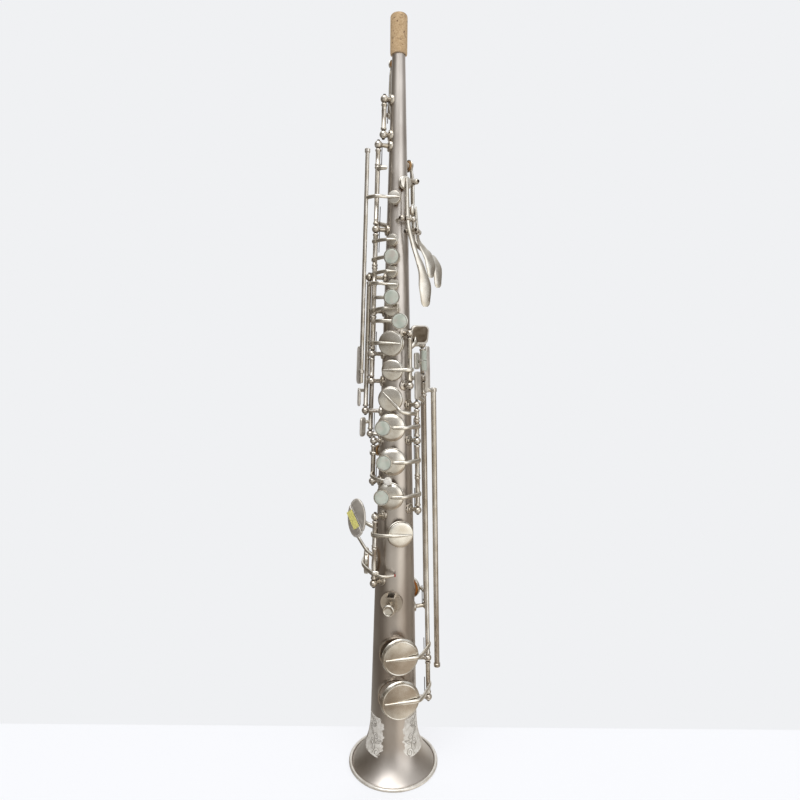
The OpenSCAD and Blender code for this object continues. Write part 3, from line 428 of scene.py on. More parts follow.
class Bench:
    """The modelling tools: each returns a new mesh piece, placed by a matrix given in millimetres."""

    @staticmethod
    def raw(points: Sequence[Any], edges: Sequence[Any], faces: Sequence[Any]) -> Piece:
        """Makes a piece from points in millimetres.

        Args:
            points: the vertices.
            edges: pairs of vertex numbers.
            faces: loops of vertex numbers.

        Returns:
            The piece, linked to the scene.
        """
        mesh = bpy.data.meshes.new("work")
        mesh.from_pydata([tuple(c * MM for c in p) for p in points], edges, faces)
        piece = bpy.data.objects.new("work", mesh)
        bpy.context.scene.collection.objects.link(piece)
        return piece

    @classmethod
    def shell(cls, points: Sequence[Vector], faces: Sequence[Any]) -> Piece:
        """Makes a closed piece whose faces look outwards.

        Args:
            points: the vertices in millimetres.
            faces: loops of vertex numbers.

        Returns:
            The piece, linked to the scene.
        """
        piece = cls.raw(points, [], faces)
        with editing(piece):
            bpy.ops.mesh.normals_make_consistent(inside=False)
        return piece

    @staticmethod
    def place(piece: Piece, matrix: Matrix) -> Piece:
        """Moves the mesh of a piece.

        Args:
            piece: the piece.
            matrix: the move, with its shift in millimetres.

        Returns:
            The same piece.
        """
        metres = matrix.copy()
        metres.translation = matrix.translation * MM
        piece.data.transform(metres)
        return piece

    @classmethod
    def lathe(cls, profile: Profile, matrix: Matrix, steps: int = 40) -> Piece:
        """Spins a profile round the local z axis.

        Args:
            profile: points (radius, z); its ends are joined unless it starts on the axis.
            matrix: place of the local axes.
            steps: segments of a full turn.

        Returns:
            The turned piece.
        """
        last = len(profile) - 1
        edges = [(i, i + 1) for i in range(last)] + ([(last, 0)] if profile[0][0] > 0 else [])
        piece = cls.raw([(r, 0.0, z) for r, z in profile], edges, [])
        with editing(piece):
            bpy.ops.mesh.spin(steps=steps, angle=math.tau, center=(0, 0, 0), axis=(0, 0, 1))
            bpy.ops.mesh.select_all(action="SELECT")
            bpy.ops.mesh.remove_doubles(threshold=WELD)
            bpy.ops.mesh.normals_make_consistent(inside=False)
        return cls.place(piece, matrix)

    @classmethod
    def slab(cls, outline: Profile, thick: float, matrix: Matrix, edge: float = 0.5) -> Piece:
        """Extrudes a flat outline along local z and rounds its edges.

        Args:
            outline: points (x, y) of the flat shape.
            thick: height of the extrusion.
            matrix: place of the local axes.
            edge: radius of the rounded edges.

        Returns:
            The slab.
        """
        piece = cls.raw([(x, y, 0.0) for x, y in outline], [], [tuple(range(len(outline)))])
        with editing(piece):
            bpy.ops.mesh.extrude_region_move(TRANSFORM_OT_translate={"value": (0, 0, thick * MM)})
            bpy.ops.mesh.select_all(action="SELECT")
            bpy.ops.mesh.normals_make_consistent(inside=False)
            bpy.ops.mesh.select_mode(type="EDGE")
            bpy.ops.mesh.select_all(action="DESELECT")
            bpy.ops.mesh.edges_select_sharp(sharpness=math.radians(60))
            bpy.ops.mesh.bevel(offset=edge * MM, segments=3, profile=0.5, clamp_overlap=True)
            bpy.ops.mesh.select_mode(type="VERT")
        return cls.place(piece, matrix)

    @classmethod
    def sweep(
        cls, path: "Path", matrix: Matrix, ring: int = 12, steps: int = 7, square: float = 0.8
    ) -> Piece:
        """Carries an oval section along a smooth path.

        Args:
            path: points, widths, heights and outward direction of the path.
            matrix: place of the path's axes.
            ring: points of a section.
            steps: sections between two points of the path.
            square: power that squares the oval off, where 1 leaves it an ellipse.

        Returns:
            The swept bar, with rounded ends.
        """
        stations = path.stations(steps)
        last = len(stations) - 1
        points: list[Vector] = []
        for i, (at, width, height, facing) in enumerate(stations):
            ahead = (stations[min(i + 1, last)][0] - stations[max(i - 1, 0)][0]).normalized()
            side = ahead.cross(path.outward(at, facing)).normalized()
            up = side.cross(ahead).normalized()
            for k in range(ring):
                x, y = math.cos(math.tau * k / ring), math.sin(math.tau * k / ring)
                wide = math.copysign(abs(x) ** square, x) * width / 2
                tall = math.copysign(abs(y) ** square, y) * height / 2
                points.append(at + side * wide + up * tall)
        faces: list[tuple[int, ...]] = []
        for start in range(0, last * ring, ring):
            pairs = [(start + k, start + (k + 1) % ring) for k in range(ring)]
            faces += [(a, b, b + ring, a + ring) for a, b in pairs]
        faces += [tuple(range(ring - 1, -1, -1)), tuple(range(last * ring, (last + 1) * ring))]
        return cls.place(cls.shell(points, faces), matrix)

    @staticmethod
    def join(parts: Sequence[Piece], name: str, smooth_deg: float = 42.0) -> Piece:
        """Joins parts into one named piece with smooth shading.

        Args:
            parts: the pieces to join.
            name: name of the result.
            smooth_deg: edges sharper than this stay crisp.

        Returns:
            The joined piece.
        """
        select_only(parts[0])
        for part in parts:
            part.select_set(True)
        if len(parts) > 1:
            bpy.ops.object.join()
        piece = bpy.context.view_layer.objects.active
        piece.name = name
        piece.data.name = name
        bpy.ops.object.shade_smooth_by_angle(angle=math.radians(smooth_deg))
        return piece


def dress(piece: Piece, body: str, slot: Slot, finish: Finish, *nodes: str) -> Piece:
    """Gives a piece its finish, its body and the solids that it stands for.

    Args:
        piece: the piece.
        body: body that it moves with.
        slot: material slot of the record; not used.
        finish: its finish, where its parts don't have theirs already.
        nodes: solids that it replaces.

    Returns:
        The same piece.
    """
    if not piece.data.materials:
        piece.data.materials.append(finish.material())
    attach(piece, body)
    if nodes:
        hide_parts(*nodes)
    log.info("%s on %s: %d faces", piece.name, body, len(piece.data.polygons))
    return piece


@dataclass(frozen=True)
class Cone:
    """The straight part of the body, and the heights that stack up over a tone hole."""

    foot_r: float = 21.95
    tip_r: float = 4.63
    length: float = 645.0
    bell_r: float = 40.4
    bead_r: float = 1.5
    flare_h: float = 54.0
    flare_power: float = 3.3
    flare_steps: int = 14
    chimney: float = 2.6
    pad_gap: float = 0.1
    pad_fit: float = 0.1
    pad_proud: float = 0.8
    cup_wall: float = 0.7
    cup_dome: float = 0.07

    @property
    def taper(self) -> float:
        """Radius that the cone loses for each millimetre of height."""
        return (self.foot_r - self.tip_r) / self.length

    @property
    def alpha(self) -> float:
        """Half angle of the cone in radians."""
        return math.atan(self.taper)

    @property
    def skin_x(self) -> float:
        """Distance of a side line from the foot of the axis."""
        return self.foot_r * math.cos(self.alpha)

    def axis_x(self, t: float) -> float:
        """Offset of the bore axis at the height t of a hinge frame."""
        return t * self.taper

    def skin(self, t: float) -> float:
        """Radius of the section at the height t of a hinge frame."""
        return self.skin_x - self.axis_x(t)

    def outer_r(self, z: float) -> float:
        """Works out the outer radius, with the flare of the bell, which the solid draws in rings.

        Args:
            z: height above the bell's rim.

        Returns:
            The radius.
        """
        step = self.flare_h / self.flare_steps
        ring = min(math.floor(z / step), self.flare_steps)
        low, high = (max(0.0, 1 - k / self.flare_steps) ** self.flare_power for k in (ring, ring + 1))
        flare = max(0.0, low + (high - low) * (z / step - ring))
        return self.foot_r - self.taper * z + (self.bell_r - self.bead_r - self.foot_r) * flare

    def pad_t(self, r: float) -> float:
        """Thickness of the pad in a cup of radius r."""
        return 2.2 if r < 6.5 else 3.0

    def rim_h(self, r: float) -> float:
        """Height of a cup's shoulder above its chimney."""
        return self.pad_gap + self.pad_t(r) + self.pad_fit + self.cup_wall

    def top_h(self, r: float) -> float:
        """Height of a cup's shoulder above the body."""
        return self.chimney + self.rim_h(r)


CONE = Cone()
# Space that a post's ball takes on its rod, and play between two tubes
POST_GAP = 3.6
PLAY = 0.3


@dataclass(frozen=True)
class Hole:
    """A tone hole: height, angle round the body and radius of its cup."""

    z: float
    phi: float
    r: float


@dataclass(frozen=True)
class Path:
    """Points of a bar, its width and height at each, and where its face looks, if that isn't outwards."""

    points: Sequence[Vector]
    widths: Sequence[float]
    heights: Sequence[float]
    turns: Sequence[float] = ()

    def outward(self, at: Vector, facing: float) -> Vector:
        """Finds the direction that the bar's face looks: out of the body, or along its own turn.

        Args:
            at: point of the bar.
            facing: turn of the face there, in degrees.

        Returns:
            The direction.
        """
        if self.turns:
            return Vector((*polar(1.0, facing), 0.0))
        return Vector((at.x - CONE.axis_x(at.z), at.y, 0.0)).normalized()

    def stations(self, steps: int) -> list[tuple[Vector, float, float, float]]:
        """Samples the smooth curve through the points.

        Args:
            steps: samples between two points.

        Returns:
            Place, width, height and turn of each section, with small sections that round the two ends.
        """
        p = self.points
        last = len(p) - 1
        rows = list(zip(self.widths, self.heights, self.turns or (0.0,) * len(p)))
        found: list[tuple[Vector, float, float, float]] = []
        for i in range(last):
            before, after = p[max(i - 1, 0)], p[min(i + 2, last)]
            for k in range(steps + (i == last - 1)):
                u = k / steps
                spot = 0.5 * (
                    2 * p[i]
                    + (p[i + 1] - before) * u
                    + (2 * before - 5 * p[i] + 4 * p[i + 1] - after) * u * u
                    + (3 * p[i] - before - 3 * p[i + 1] + after) * u**3
                )
                ease = u * u * (3 - 2 * u)
                found.append((spot, *(a + (b - a) * ease for a, b in zip(rows[i], rows[i + 1]))))
        start, end = self.round_end(*found[:2]), self.round_end(*found[:-3:-1])
        return start[::-1] + found + end

    @staticmethod
    def round_end(tip: tuple[Any, ...], inner: tuple[Any, ...]) -> list[tuple[Vector, float, float, float]]:
        """Rounds one end of the curve.

        Args:
            tip: its last section.
            inner: the section before that.

        Returns:
            Two smaller sections beyond the tip.
        """
        at, width, height, facing = tip
        along = (at - inner[0]).normalized()
        ends = ((0.3, 0.85), (0.5, 0.45))
        return [(at + along * width * run, width * k, height * max(k, 0.6), facing) for run, k in ends]


@dataclass(frozen=True)
class HingeLine:
    """A hinge rod that lies parallel to the side of the cone, with its own tilted frame.

    It has an angle round the body, a height above the skin and the heights of its posts.
    """

    phi: float
    height: float
    posts: tuple[float, ...] = ()

    @property
    def x(self) -> float:
        """Distance of the rod from the foot of the axis in its frame."""
        return CONE.skin_x + self.height

    def spans(self, first: int, *splits: float) -> list[tuple[float, float]]:
        """Divides the rod between two posts among the tubes that turn on it.

        Args:
            first: number of the lower post.
            splits: heights where one tube ends and the next starts.

        Returns:
            Lower and upper end of each tube.
        """
        low, high = self.posts[first : first + 2]
        return list(zip((low + POST_GAP, *splits), (*(split - PLAY for split in splits), high - POST_GAP)))

    def matrix(self, angle: float = 0.0) -> Matrix:
        """Works out the frame of the hinge line.

        Args:
            angle: turn about the rod in degrees.

        Returns:
            The frame.
        """
        lean = turn(self.phi - 90, "Z") @ Matrix.Rotation(-CONE.alpha, 4, "Y")
        return lean @ move(self.x) @ turn(angle, "Z") @ move(-self.x)

    def rod(self, t: float) -> Vector:
        """Point of the rod at the height t."""
        return Vector((self.x, 0.0, t))

    def beside(self, aside: float, along: float, t: float) -> Vector:
        """Point beside the rod at the height t."""
        return Vector((self.x + aside, along, t))

    def sec(self, t: float, a: float, h: float, s: float = 0.0) -> Vector:
        """Finds a point of a section.

        Args:
            t: height of the section.
            a: angle from the rod in degrees.
            h: height above the skin.
            s: shift along the tangent.

        Returns:
            The point.
        """
        cos, sin = polar(1.0, a)
        reach = CONE.skin(t) + h
        return Vector((CONE.axis_x(t) + reach * cos - s * sin, reach * sin + s * cos, t))

    def seat(self, t: float, d: float, angle: float = 0.0) -> Matrix:
        """Works out a frame on the skin: z points out, x down and y round the body.

        Args:
            t: height on the rod.
            d: angle from the rod in degrees.
            angle: turn about the rod in degrees.

        Returns:
            The frame.
        """
        spot = move(CONE.axis_x(t), 0, t) @ turn(d, "Z")
        return self.matrix(angle) @ spot @ LIE_X @ move(z=CONE.skin(t))

    def face(self, at: Vector, facing: float, angle: float = 0.0) -> Matrix:
        """Frame at a point, whose z looks along the direction facing."""
        return self.matrix(angle) @ Matrix.Translation(at) @ turn(facing, "Z") @ LIE_X


def round_plate(high: float, wide: float, r: float, steps: int = 6) -> list[tuple[float, float]]:
    """Outlines a rectangle with round corners.

    Args:
        high: size along x.
        wide: size along y.
        r: radius of the corners.
        steps: chords of a corner.

    Returns:
        The outline.
    """
    outline: list[tuple[float, float]] = []
    for corner, (x, y) in enumerate(((1, 1), (-1, 1), (-1, -1), (1, -1))):
        bend = [polar(r, 90 * corner + 90 * k / steps) for k in range(steps + 1)]
        outline += [(x * (high / 2 - r) + dx, y * (wide / 2 - r) + dy) for dx, dy in bend]
    return outline


def half_moon(high: float, wide: float, cut: float, steps: int = 24) -> list[tuple[float, float]]:
    """Outlines half an oval.

    Args:
        high: half size along x.
        wide: half size along y.
        cut: angle of the cut in degrees.
        steps: chords of the half.

    Returns:
        The outline.
    """
    points = [polar(1.0, cut + 180 * k / steps) for k in range(steps + 1)]
    return [(high * x, wide * y) for x, y in points]


@dataclass
class Key:
    """One key: its solid, hinge line, tubes, how far it stands open at rest, and the parts that make it."""

    node: str
    line: HingeLine
    tubes: Sequence[tuple[float, float]] = ()
    open_deg: float = 0.0
    parts: list[Piece] = field(default_factory=list)
    tube_r: float = 2.0
    bore_r: float = 1.25
    plate_t: float = 2.0
    bead_from: float = 14.0
    crown: tuple[float, ...] = (0.88, 0.74, 0.56, 0.36, 0.18, 0.0)

    def __post_init__(self) -> None:
        """Adds the hinge tubes, each with a rounded collar at both ends."""
        r, rim = self.tube_r, self.tube_r + 0.45
        collar = [(self.bore_r, 0), (r + 0.1, 0), (rim, 0.4), (rim + 0.05, 1.0), (rim, 1.6), (r, 2.1)]
        for low, high in self.tubes:
            foot = [(radius, low + z) for radius, z in collar]
            head = [(radius, low + high - z) for radius, z in reversed(foot)]
            self.add(Bench.lathe(foot + head, self.line.matrix() @ move(self.line.x), 28), WORN)

    @property
    def body(self) -> str:
        """Body that the key moves with."""
        return self.node.removesuffix("_key")

    def add(self, part: Piece, finish: Finish = POLISHED) -> None:
        """Adds a part with its finish."""
        part.data.materials.append(finish.material())
        self.parts.append(part)

    def rod_like(
        self, x: float, y: float, span: tuple[float, float], r: float, finish: Finish = WORN
    ) -> None:
        """Adds a round rod along the hinge line.

        Args:
            x: its place in the section, counted from the hinge rod.
            y: its place in the section.
            span: its lower and upper end.
            r: its radius.
            finish: its finish.
        """
        low, high = span
        profile = [(0, low), (r - 0.4, low), (r, low + 0.4), (r, high - 0.4), (r - 0.4, high), (0, high)]
        self.add(Bench.lathe(profile, self.line.matrix() @ move(self.line.x + x, y), 28), finish)

    def bypass(
        self, aside: float, r: float, span: tuple[float, float], feet: Sequence[float],
        foot: tuple[float, float], collar: float,
    ) -> None:
        """Adds a rod that runs beside the hinge rod on feet with collars.

        Args:
            aside: distance between the rods.
            r: radius of the rod.
            span: its lower and upper end.
            feet: heights of the feet.
            foot: width and height of a foot.
            collar: half length of a collar.
        """
        for t in feet:
            ends = [self.line.rod(t), self.line.beside(aside, 0, t)]
            self.bar(ends, (foot[0], foot[0]), (foot[1], foot[1]))
            self.rod_like(aside, 0, (t - collar, t + collar), r + 0.6)
        self.rod_like(aside, 0, span, r)

    def bar(
        self, points: Sequence[Vector], widths: Sequence[float], heights: Sequence[float],
        open_deg: float = 0.0, turns: Sequence[float] = (),
    ) -> None:
        """Adds a swept arm.

        Args:
            points: where it passes.
            widths: its width at each point.
            heights: its height at each point.
            open_deg: how far it is drawn turned about the rod.
            turns: direction that its face looks at each point, where that isn't out of the body.
        """
        self.add(Bench.sweep(Path(points, widths, heights, turns), self.line.matrix(open_deg)))

    def off(self, hole: Hole) -> float:
        """Angle from the hinge line to a hole."""
        return hole.phi - self.line.phi

    def seat(self, hole: Hole, h: float, aside: float = 0.0) -> Matrix:
        """Frame over a hole in the open rest pose, h above the skin and shifted aside."""
        return self.line.seat(hole.z, self.off(hole), self.open_deg) @ move(0, aside, h)

    def cup(self, hole: Hole, swell: float = 1.0) -> None:
        """Adds the cup over a hole: rolled lower rim, straight wall, round shoulder and a top that swells.

        Args:
            hole: its tone hole.
            swell: rise of the top, as a multiple of the usual one.
        """
        r, low, top = hole.r, CONE.pad_gap + CONE.pad_proud, CONE.rim_h(hole.r)
        rise, wall = CONE.cup_dome * r * swell, CONE.cup_wall
        dome = (r * r + rise * rise) / (2 * rise)
        outer = [(r - wall, low), (r + 0.1, low - 0.02), (r + 0.32, low + 0.22), (r + 0.3, low + 0.6)]
        outer.append((r, low + 0.85))
        if r > self.bead_from:
            edge, bend = r - 0.9, ((0.3, 0.2), (0.8, 0.42), (1.3, 0.25), (1.6, -0.02))
        else:
            edge, bend = r - 0.15, ((0.35, -0.06), (0.7, 0.02))
        outer += [(edge - inset, top + up) for inset, up in ((0, -0.75), (0.1, -0.35), *bend)]
        rings = [r * share for share in self.crown]
        outer += [(c, top + rise - dome + math.sqrt(dome * dome - c * c)) for c in rings]
        profile = outer + [(0.0, top - wall), (r - wall, top - wall)]
        self.add(Bench.lathe(profile, self.seat(hole, CONE.chimney), 56))

    def cup_arm(self, hole: Hole, t_rod: float, reach: float = 0.8) -> None:
        """Adds the arm that wraps over the tube, reaches to a cup and tapers across its top as a rib.

        Args:
            hole: the cup's tone hole.
            t_rod: height where the arm leaves the rod.
            reach: how far the rib passes the middle of the cup, as a share of its radius.
        """
        line, d, r = self.line, self.off(hole), hole.r
        near_side = 1 if d < 0 else -1
        top, rise = CONE.top_h(r), CONE.cup_dome * r
        near = line.sec(hole.z, d, top + 1.0, near_side * r * 0.98)
        over = line.sec(t_rod, 0, line.height + self.tube_r - 0.2)
        heel = line.sec(t_rod + 0.4, near_side * 5, line.height + 0.6, near_side * 0.6)
        middle = (near + over) / 2
        knee = middle + Vector((middle.x - CONE.axis_x(hole.z), middle.y, 0)).normalized() * 0.9
        crest = line.sec(hole.z, d, top + rise + 0.6, near_side * r * 0.3)
        tip = line.sec(hole.z, d, top + rise * (1 - reach * reach) + 0.3, -near_side * r * reach)
        wide = 2.7 + 0.09 * r
        widths = (wide, wide + 0.5, wide, wide * 0.9, wide * 0.78, 1.2)
        self.bar([heel, over, knee, near, crest, tip], widths, (1.8, 2.4, 2.4, 2.5, 2.5, 1.2), self.open_deg)

    def armed_cup(self, hole: Hole, t_rod: float, reach: float = 0.8, swell: float = 1.0) -> None:
        """Adds a cup with its arm (see cup_arm and cup)."""
        self.cup_arm(hole, t_rod, reach)
        self.cup(hole, swell)

    def rib(self, hole: Hole) -> list[Vector]:
        """Finds the points of an arm's last stretch, across the top of a cup.

        Args:
            hole: the cup's tone hole.

        Returns:
            The points at the near edge, the middle and the far edge.
        """
        top, d = CONE.top_h(hole.r), self.off(hole)
        rises = ((1, -1), (0.8, 0), (0.4, 0.85))
        return [self.line.sec(hole.z, d, top + up, hole.r * run) for up, run in rises]

    def bezel(self, matrix: Matrix, foot: Profile = (), wide: float = 13.4, high: float = 2.8) -> None:
        """Adds a round pearl holder with a thin rolled lip.

        Args:
            matrix: its frame.
            foot: profile of the foot that carries it on a cup.
            wide: its width.
            high: its height.
        """
        a, b = wide / 2, Pearl.wide / 2 + 0.1
        profile = [
            (0, 0), (a - 1.6, 0), (a - 0.5, 0.5), (a - 0.1, 1.2), (a, high - 0.4), (a - 0.2, high),
            (b + 0.1, high + 0.05), (b, high - 0.15), (b, high / 2), (0, high / 2),
        ]
        self.add(Bench.lathe(profile, matrix, 48))
        if foot:
            self.add(Bench.lathe(foot, matrix, 36))

    def plate(self, outline: Profile, matrix: Matrix, edge: float = 0.6) -> None:
        """Adds a touch plate centred on the frame's xy plane."""
        self.add(Bench.slab(outline, self.plate_t, matrix @ move(z=-self.plate_t / 2), edge), BUFFED)

    def inlay(self, outline: Profile, matrix: Matrix, shrink: float, finish: Finish) -> None:
        """Adds the dull face of a touch plate, inside its bright rim.

        Args:
            outline: outline of the plate.
            matrix: frame of the plate.
            shrink: size of the face as a share of the plate.
            finish: its finish.
        """
        smaller = [(x * shrink, y * shrink) for x, y in outline]
        self.add(Bench.slab(smaller, 0.36, matrix @ move(z=self.plate_t / 2 - 0.3), 0.05), finish)

    def finish(self) -> None:
        """Joins the parts to the finished key, which replaces its solid."""
        dress(Bench.join(self.parts, f"{self.node}_dressed"), self.body, Slot.KEYS, POLISHED, self.node)


LOW = HingeLine(88, 11, (61, 98, 349.5))
SHARP = HingeLine(104, 11, (143.5, 378))
RIGHT = HingeLine(52, 9, (237.5, 297, 327.5))
PINKY = HingeLine(-42, 9.5, (174.5, 232.5))
LEFT = HingeLine(-72, 9.5, (347, 370, 473, 541))
SIDE = HingeLine(-86, 13, (321, 434))
BACK = HingeLine(-102, 9, (300, 406))
G_LINE = HingeLine(32, 9, (344, 387))
TRILL = HingeLine(-66, 6.5, (261, 296))
NECK = HingeLine(-72, 5.5, (549.5, 577.5))
LINES = (LOW, SHARP, RIGHT, PINKY, LEFT, SIDE, BACK, G_LINE, TRILL, NECK)
# Height where the octave lever's tube ends and the high E key's upper tube starts
OCTAVE_SPLIT = 524.0

LOW_BB = Hole(75, 4, 17)
LOW_B = Hole(113, 4, 16)
LOW_CS = Hole(157, 137, 9.5)
LOW_C = Hole(187, -96, 11.5)
E_FLAT = Hole(218, 13, 11.2)
RH = (Hole(309.5, -15, 11.8), Hole(280.5, -12, 11.6), Hole(251.5, -16, 11.6))
F_SHARP = Hole(333, -18, 10.2)
G_SHARP = Hole(357, -11, 9)
LH3 = Hole(379, -10, 10.6)
LH2 = Hole(407.5, -9, 6.6)
SIDE_C = Hole(427.4, -11, 4.5)
BIS = Hole(437.6, -10, 4.8)
LH1 = Hole(449, -7, 5.8)
C_VENT = Hole(463, -11, 4.7)
SIDE_BB = Hole(398, -150, 5)
TRILL_HOLE = Hole(285, -122, 5)
HIGH_E = Hole(497.5, -12, 5.5)
PALM_D = Hole(509.5, 30, 5.4)
PALM_EB = Hole(489, 78, 5.2)
PALM_F = Hole(528, 130, 4.8)
OCTAVE = Hole(610, -148, 3.4)


@dataclass
class Pearl:
    """A mother-of-pearl disc with a softly domed face."""

    body: str
    wide: float = 11.8
    pocket: float = 1.4
    proud: float = 0.5
    dome: float = 0.42

    def build(self, holder: Matrix) -> None:
        """Builds the pearl in the pocket of its holder.

        Args:
            holder: frame of the holder.
        """
        r, low = self.wide / 2, self.pocket
        top = low + self.pocket + self.proud
        profile = [(0, low), (r, low), (r, top - 0.75), (r - 0.25, top - self.dome)]
        profile += [(r * f, top - self.dome * f**4) for f in (0.85, 0.7, 0.5, 0.25, 0.0)]
        disc = Bench.join([Bench.lathe(profile, holder, 48)], f"{self.body}_pearl_dressed")
        dress(disc, self.body, Slot.PEARL, PEARL, f"{self.body}_pearl")


@dataclass
class LowKeys:
    """Low B flat, B, C sharp, C and E flat keys, with the touches for both little fingers."""

    low_open: float = 9.0
    c_open: float = 10.0
    low_split: float = 336.0
    bypass_off: float = 8.2
    bypass_r: float = 2.3
    roller_r: float = 2.3
    rollers: tuple[tuple[float, float], ...] = ((356, 364.3), (364.7, 373))
    pinky_split: float = 206.0
    pinky_at: tuple[float, float, float] = (8, -14, 230)
    pinky_facing: float = 4.0
    pinky_cut: float = 50.0
    pinky_half: tuple[float, float] = (16.5, 9.6)
    pinky_slit: float = 0.6
    tail_t: float = 182.0

    def build(self) -> None:
        """Builds the five keys."""
        self.b_flat()
        self.b()
        self.c_sharp()
        self.pinky()
        self.trims()

    @property
    def middle(self) -> Vector:
        """Middle of the oval that the low C and E flat touches share."""
        return PINKY.beside(*self.pinky_at)

    def b_flat(self) -> None:
        """Builds the low B flat key with its bypass rod, touch bar and rollers."""
        low, high = LOW.spans(0)[0], LOW.spans(1, self.low_split)[1]
        key = Key("low_bb_key", LOW, (low, high), self.low_open)
        key.armed_cup(LOW_BB, LOW_BB.z - 2)
        foot, head = low[1] - 3, high[0] + 3
        key.bypass(self.bypass_off, self.bypass_r, (foot - 2, head + 2), (foot, head), (3.4, 3.2), 1.7)
        bend = [LOW.beside(self.bypass_off, 0, head), LOW.beside(6, -5, head), LOW.beside(3.4, -7, head + 2)]
        key.bar(bend, (3.2, 3.2, 3.6), (3, 3, 2.6))
        key.plate(round_plate(39, 5, 1.6), LOW.face(LOW.beside(3.4, -7, head + 18), -35))
        for span in self.rollers:
            key.rod_like(0.6, -9.4, span, self.roller_r, PEARL)
        key.finish()

    def b(self) -> None:
        """Builds the low B key with its touch plate."""
        key = Key("low_b_key", LOW, LOW.spans(1, self.low_split)[:1], self.low_open)
        key.armed_cup(LOW_B, LOW_B.z - 2.5)
        points = [LOW.rod(328.5), LOW.sec(331, -14, 10.6), LOW.sec(333.5, -27, 8.6)]
        key.bar(points, (5.2, 4.4, 4), (2.6, 2.4, 2.2))
        key.plate(round_plate(24, 8.4, 2.5), LOW.face(LOW.sec(343.5, -29, 8.4), -29))
        key.finish()

    def c_sharp(self) -> None:
        """Builds the low C sharp key with its touch plate."""
        key = Key("low_c_sharp_key", SHARP, SHARP.spans(0))
        key.armed_cup(LOW_CS, key.tubes[0][0] + 3)
        points = [SHARP.rod(362.5), SHARP.sec(363, -20, 9.7), SHARP.sec(364, -42, 8.3)]
        key.bar(points, (5.4, 5, 5), (2.6, 2.3, 2.2))
        key.plate(round_plate(14, 7.6, 2.5), SHARP.face(SHARP.sec(364.5, -46, 8.2), -46))
        key.finish()

    def pinky(self) -> None:
        """Builds the low C and E flat keys, whose half-moon touches share one oval."""
        low_span, flat_span = PINKY.spans(0, self.pinky_split)
        flat = Key("e_flat_key", PINKY, [flat_span])
        flat.armed_cup(E_FLAT, E_FLAT.z - 1)
        points = [PINKY.rod(223.5), self.middle + Vector((-4, 8, -3.6)), self.middle + Vector((-0.6, 3, 2))]
        flat.bar(points, (4, 3.6, 4), (2.4, 2.2, 2))
        self.touch(flat, self.pinky_cut)
        low = Key("low_c_key", PINKY, [low_span], self.c_open)
        low.armed_cup(LOW_C, 184)
        tail = [PINKY.rod(self.tail_t), PINKY.sec(self.tail_t, 20, 10.4), PINKY.sec(self.tail_t, 40, 6.4)]
        low.bar(tail, (4, 2.8, 2), (2.4, 2.2, 2), self.c_open)
        points = [PINKY.rod(198.5), PINKY.beside(4, -5, 203), self.middle + Vector((-1, 3, -18))]
        points.append(self.middle + Vector((-0.6, -3, -12)))
        low.bar(points, (3.6, 3.4, 3.4, 3.6), (2.4, 2.2, 2.2, 2))
        self.touch(low, self.pinky_cut + 180)

    def touch(self, key: Key, cut: float) -> None:
        """Finishes a key with a half-moon touch on one side of the slit.

        Args:
            key: the key.
            cut: angle of the half-moon's straight edge in degrees.
        """
        outline = half_moon(*self.pinky_half, cut)
        face = PINKY.face(self.middle, self.pinky_facing) @ move(*polar(self.pinky_slit, cut + 90))
        key.plate(outline, face, 0.7)
        key.inlay(outline, face @ move(*polar(0.9, cut + 90)), 0.86, RUBBED)
        key.finish()

    def trims(self) -> None:
        """Adds the worn yellow strip beside the slit and the red felt under the tail of the low C key."""
        x, y = half_moon(*self.pinky_half, self.pinky_cut)[0]
        face = PINKY.face(self.middle, self.pinky_facing) @ turn(math.degrees(math.atan2(y, x)), "Z")
        strip = Bench.slab(round_plate(16, 7.2, 0.6), 0.14, face @ move(-0.5, -3.9, 1.02), 0.05)
        dress(Bench.join([strip], "low_c_touch_paint"), "low_c", Slot.KEYS, YELLOW)
        end = PINKY.face(PINKY.sec(self.tail_t, 40.5, 6.5), 130, self.c_open) @ move(z=-0.2)
        felt = Bench.lathe([(0, 0), (1.0, 0), (1.2, 0.3), (1.15, 1.1), (0.8, 1.4), (0, 1.5)], end, 20)
        dress(Bench.join([felt], "low_c_tail_felt"), "low_c", Slot.PADS, RED_FELT)


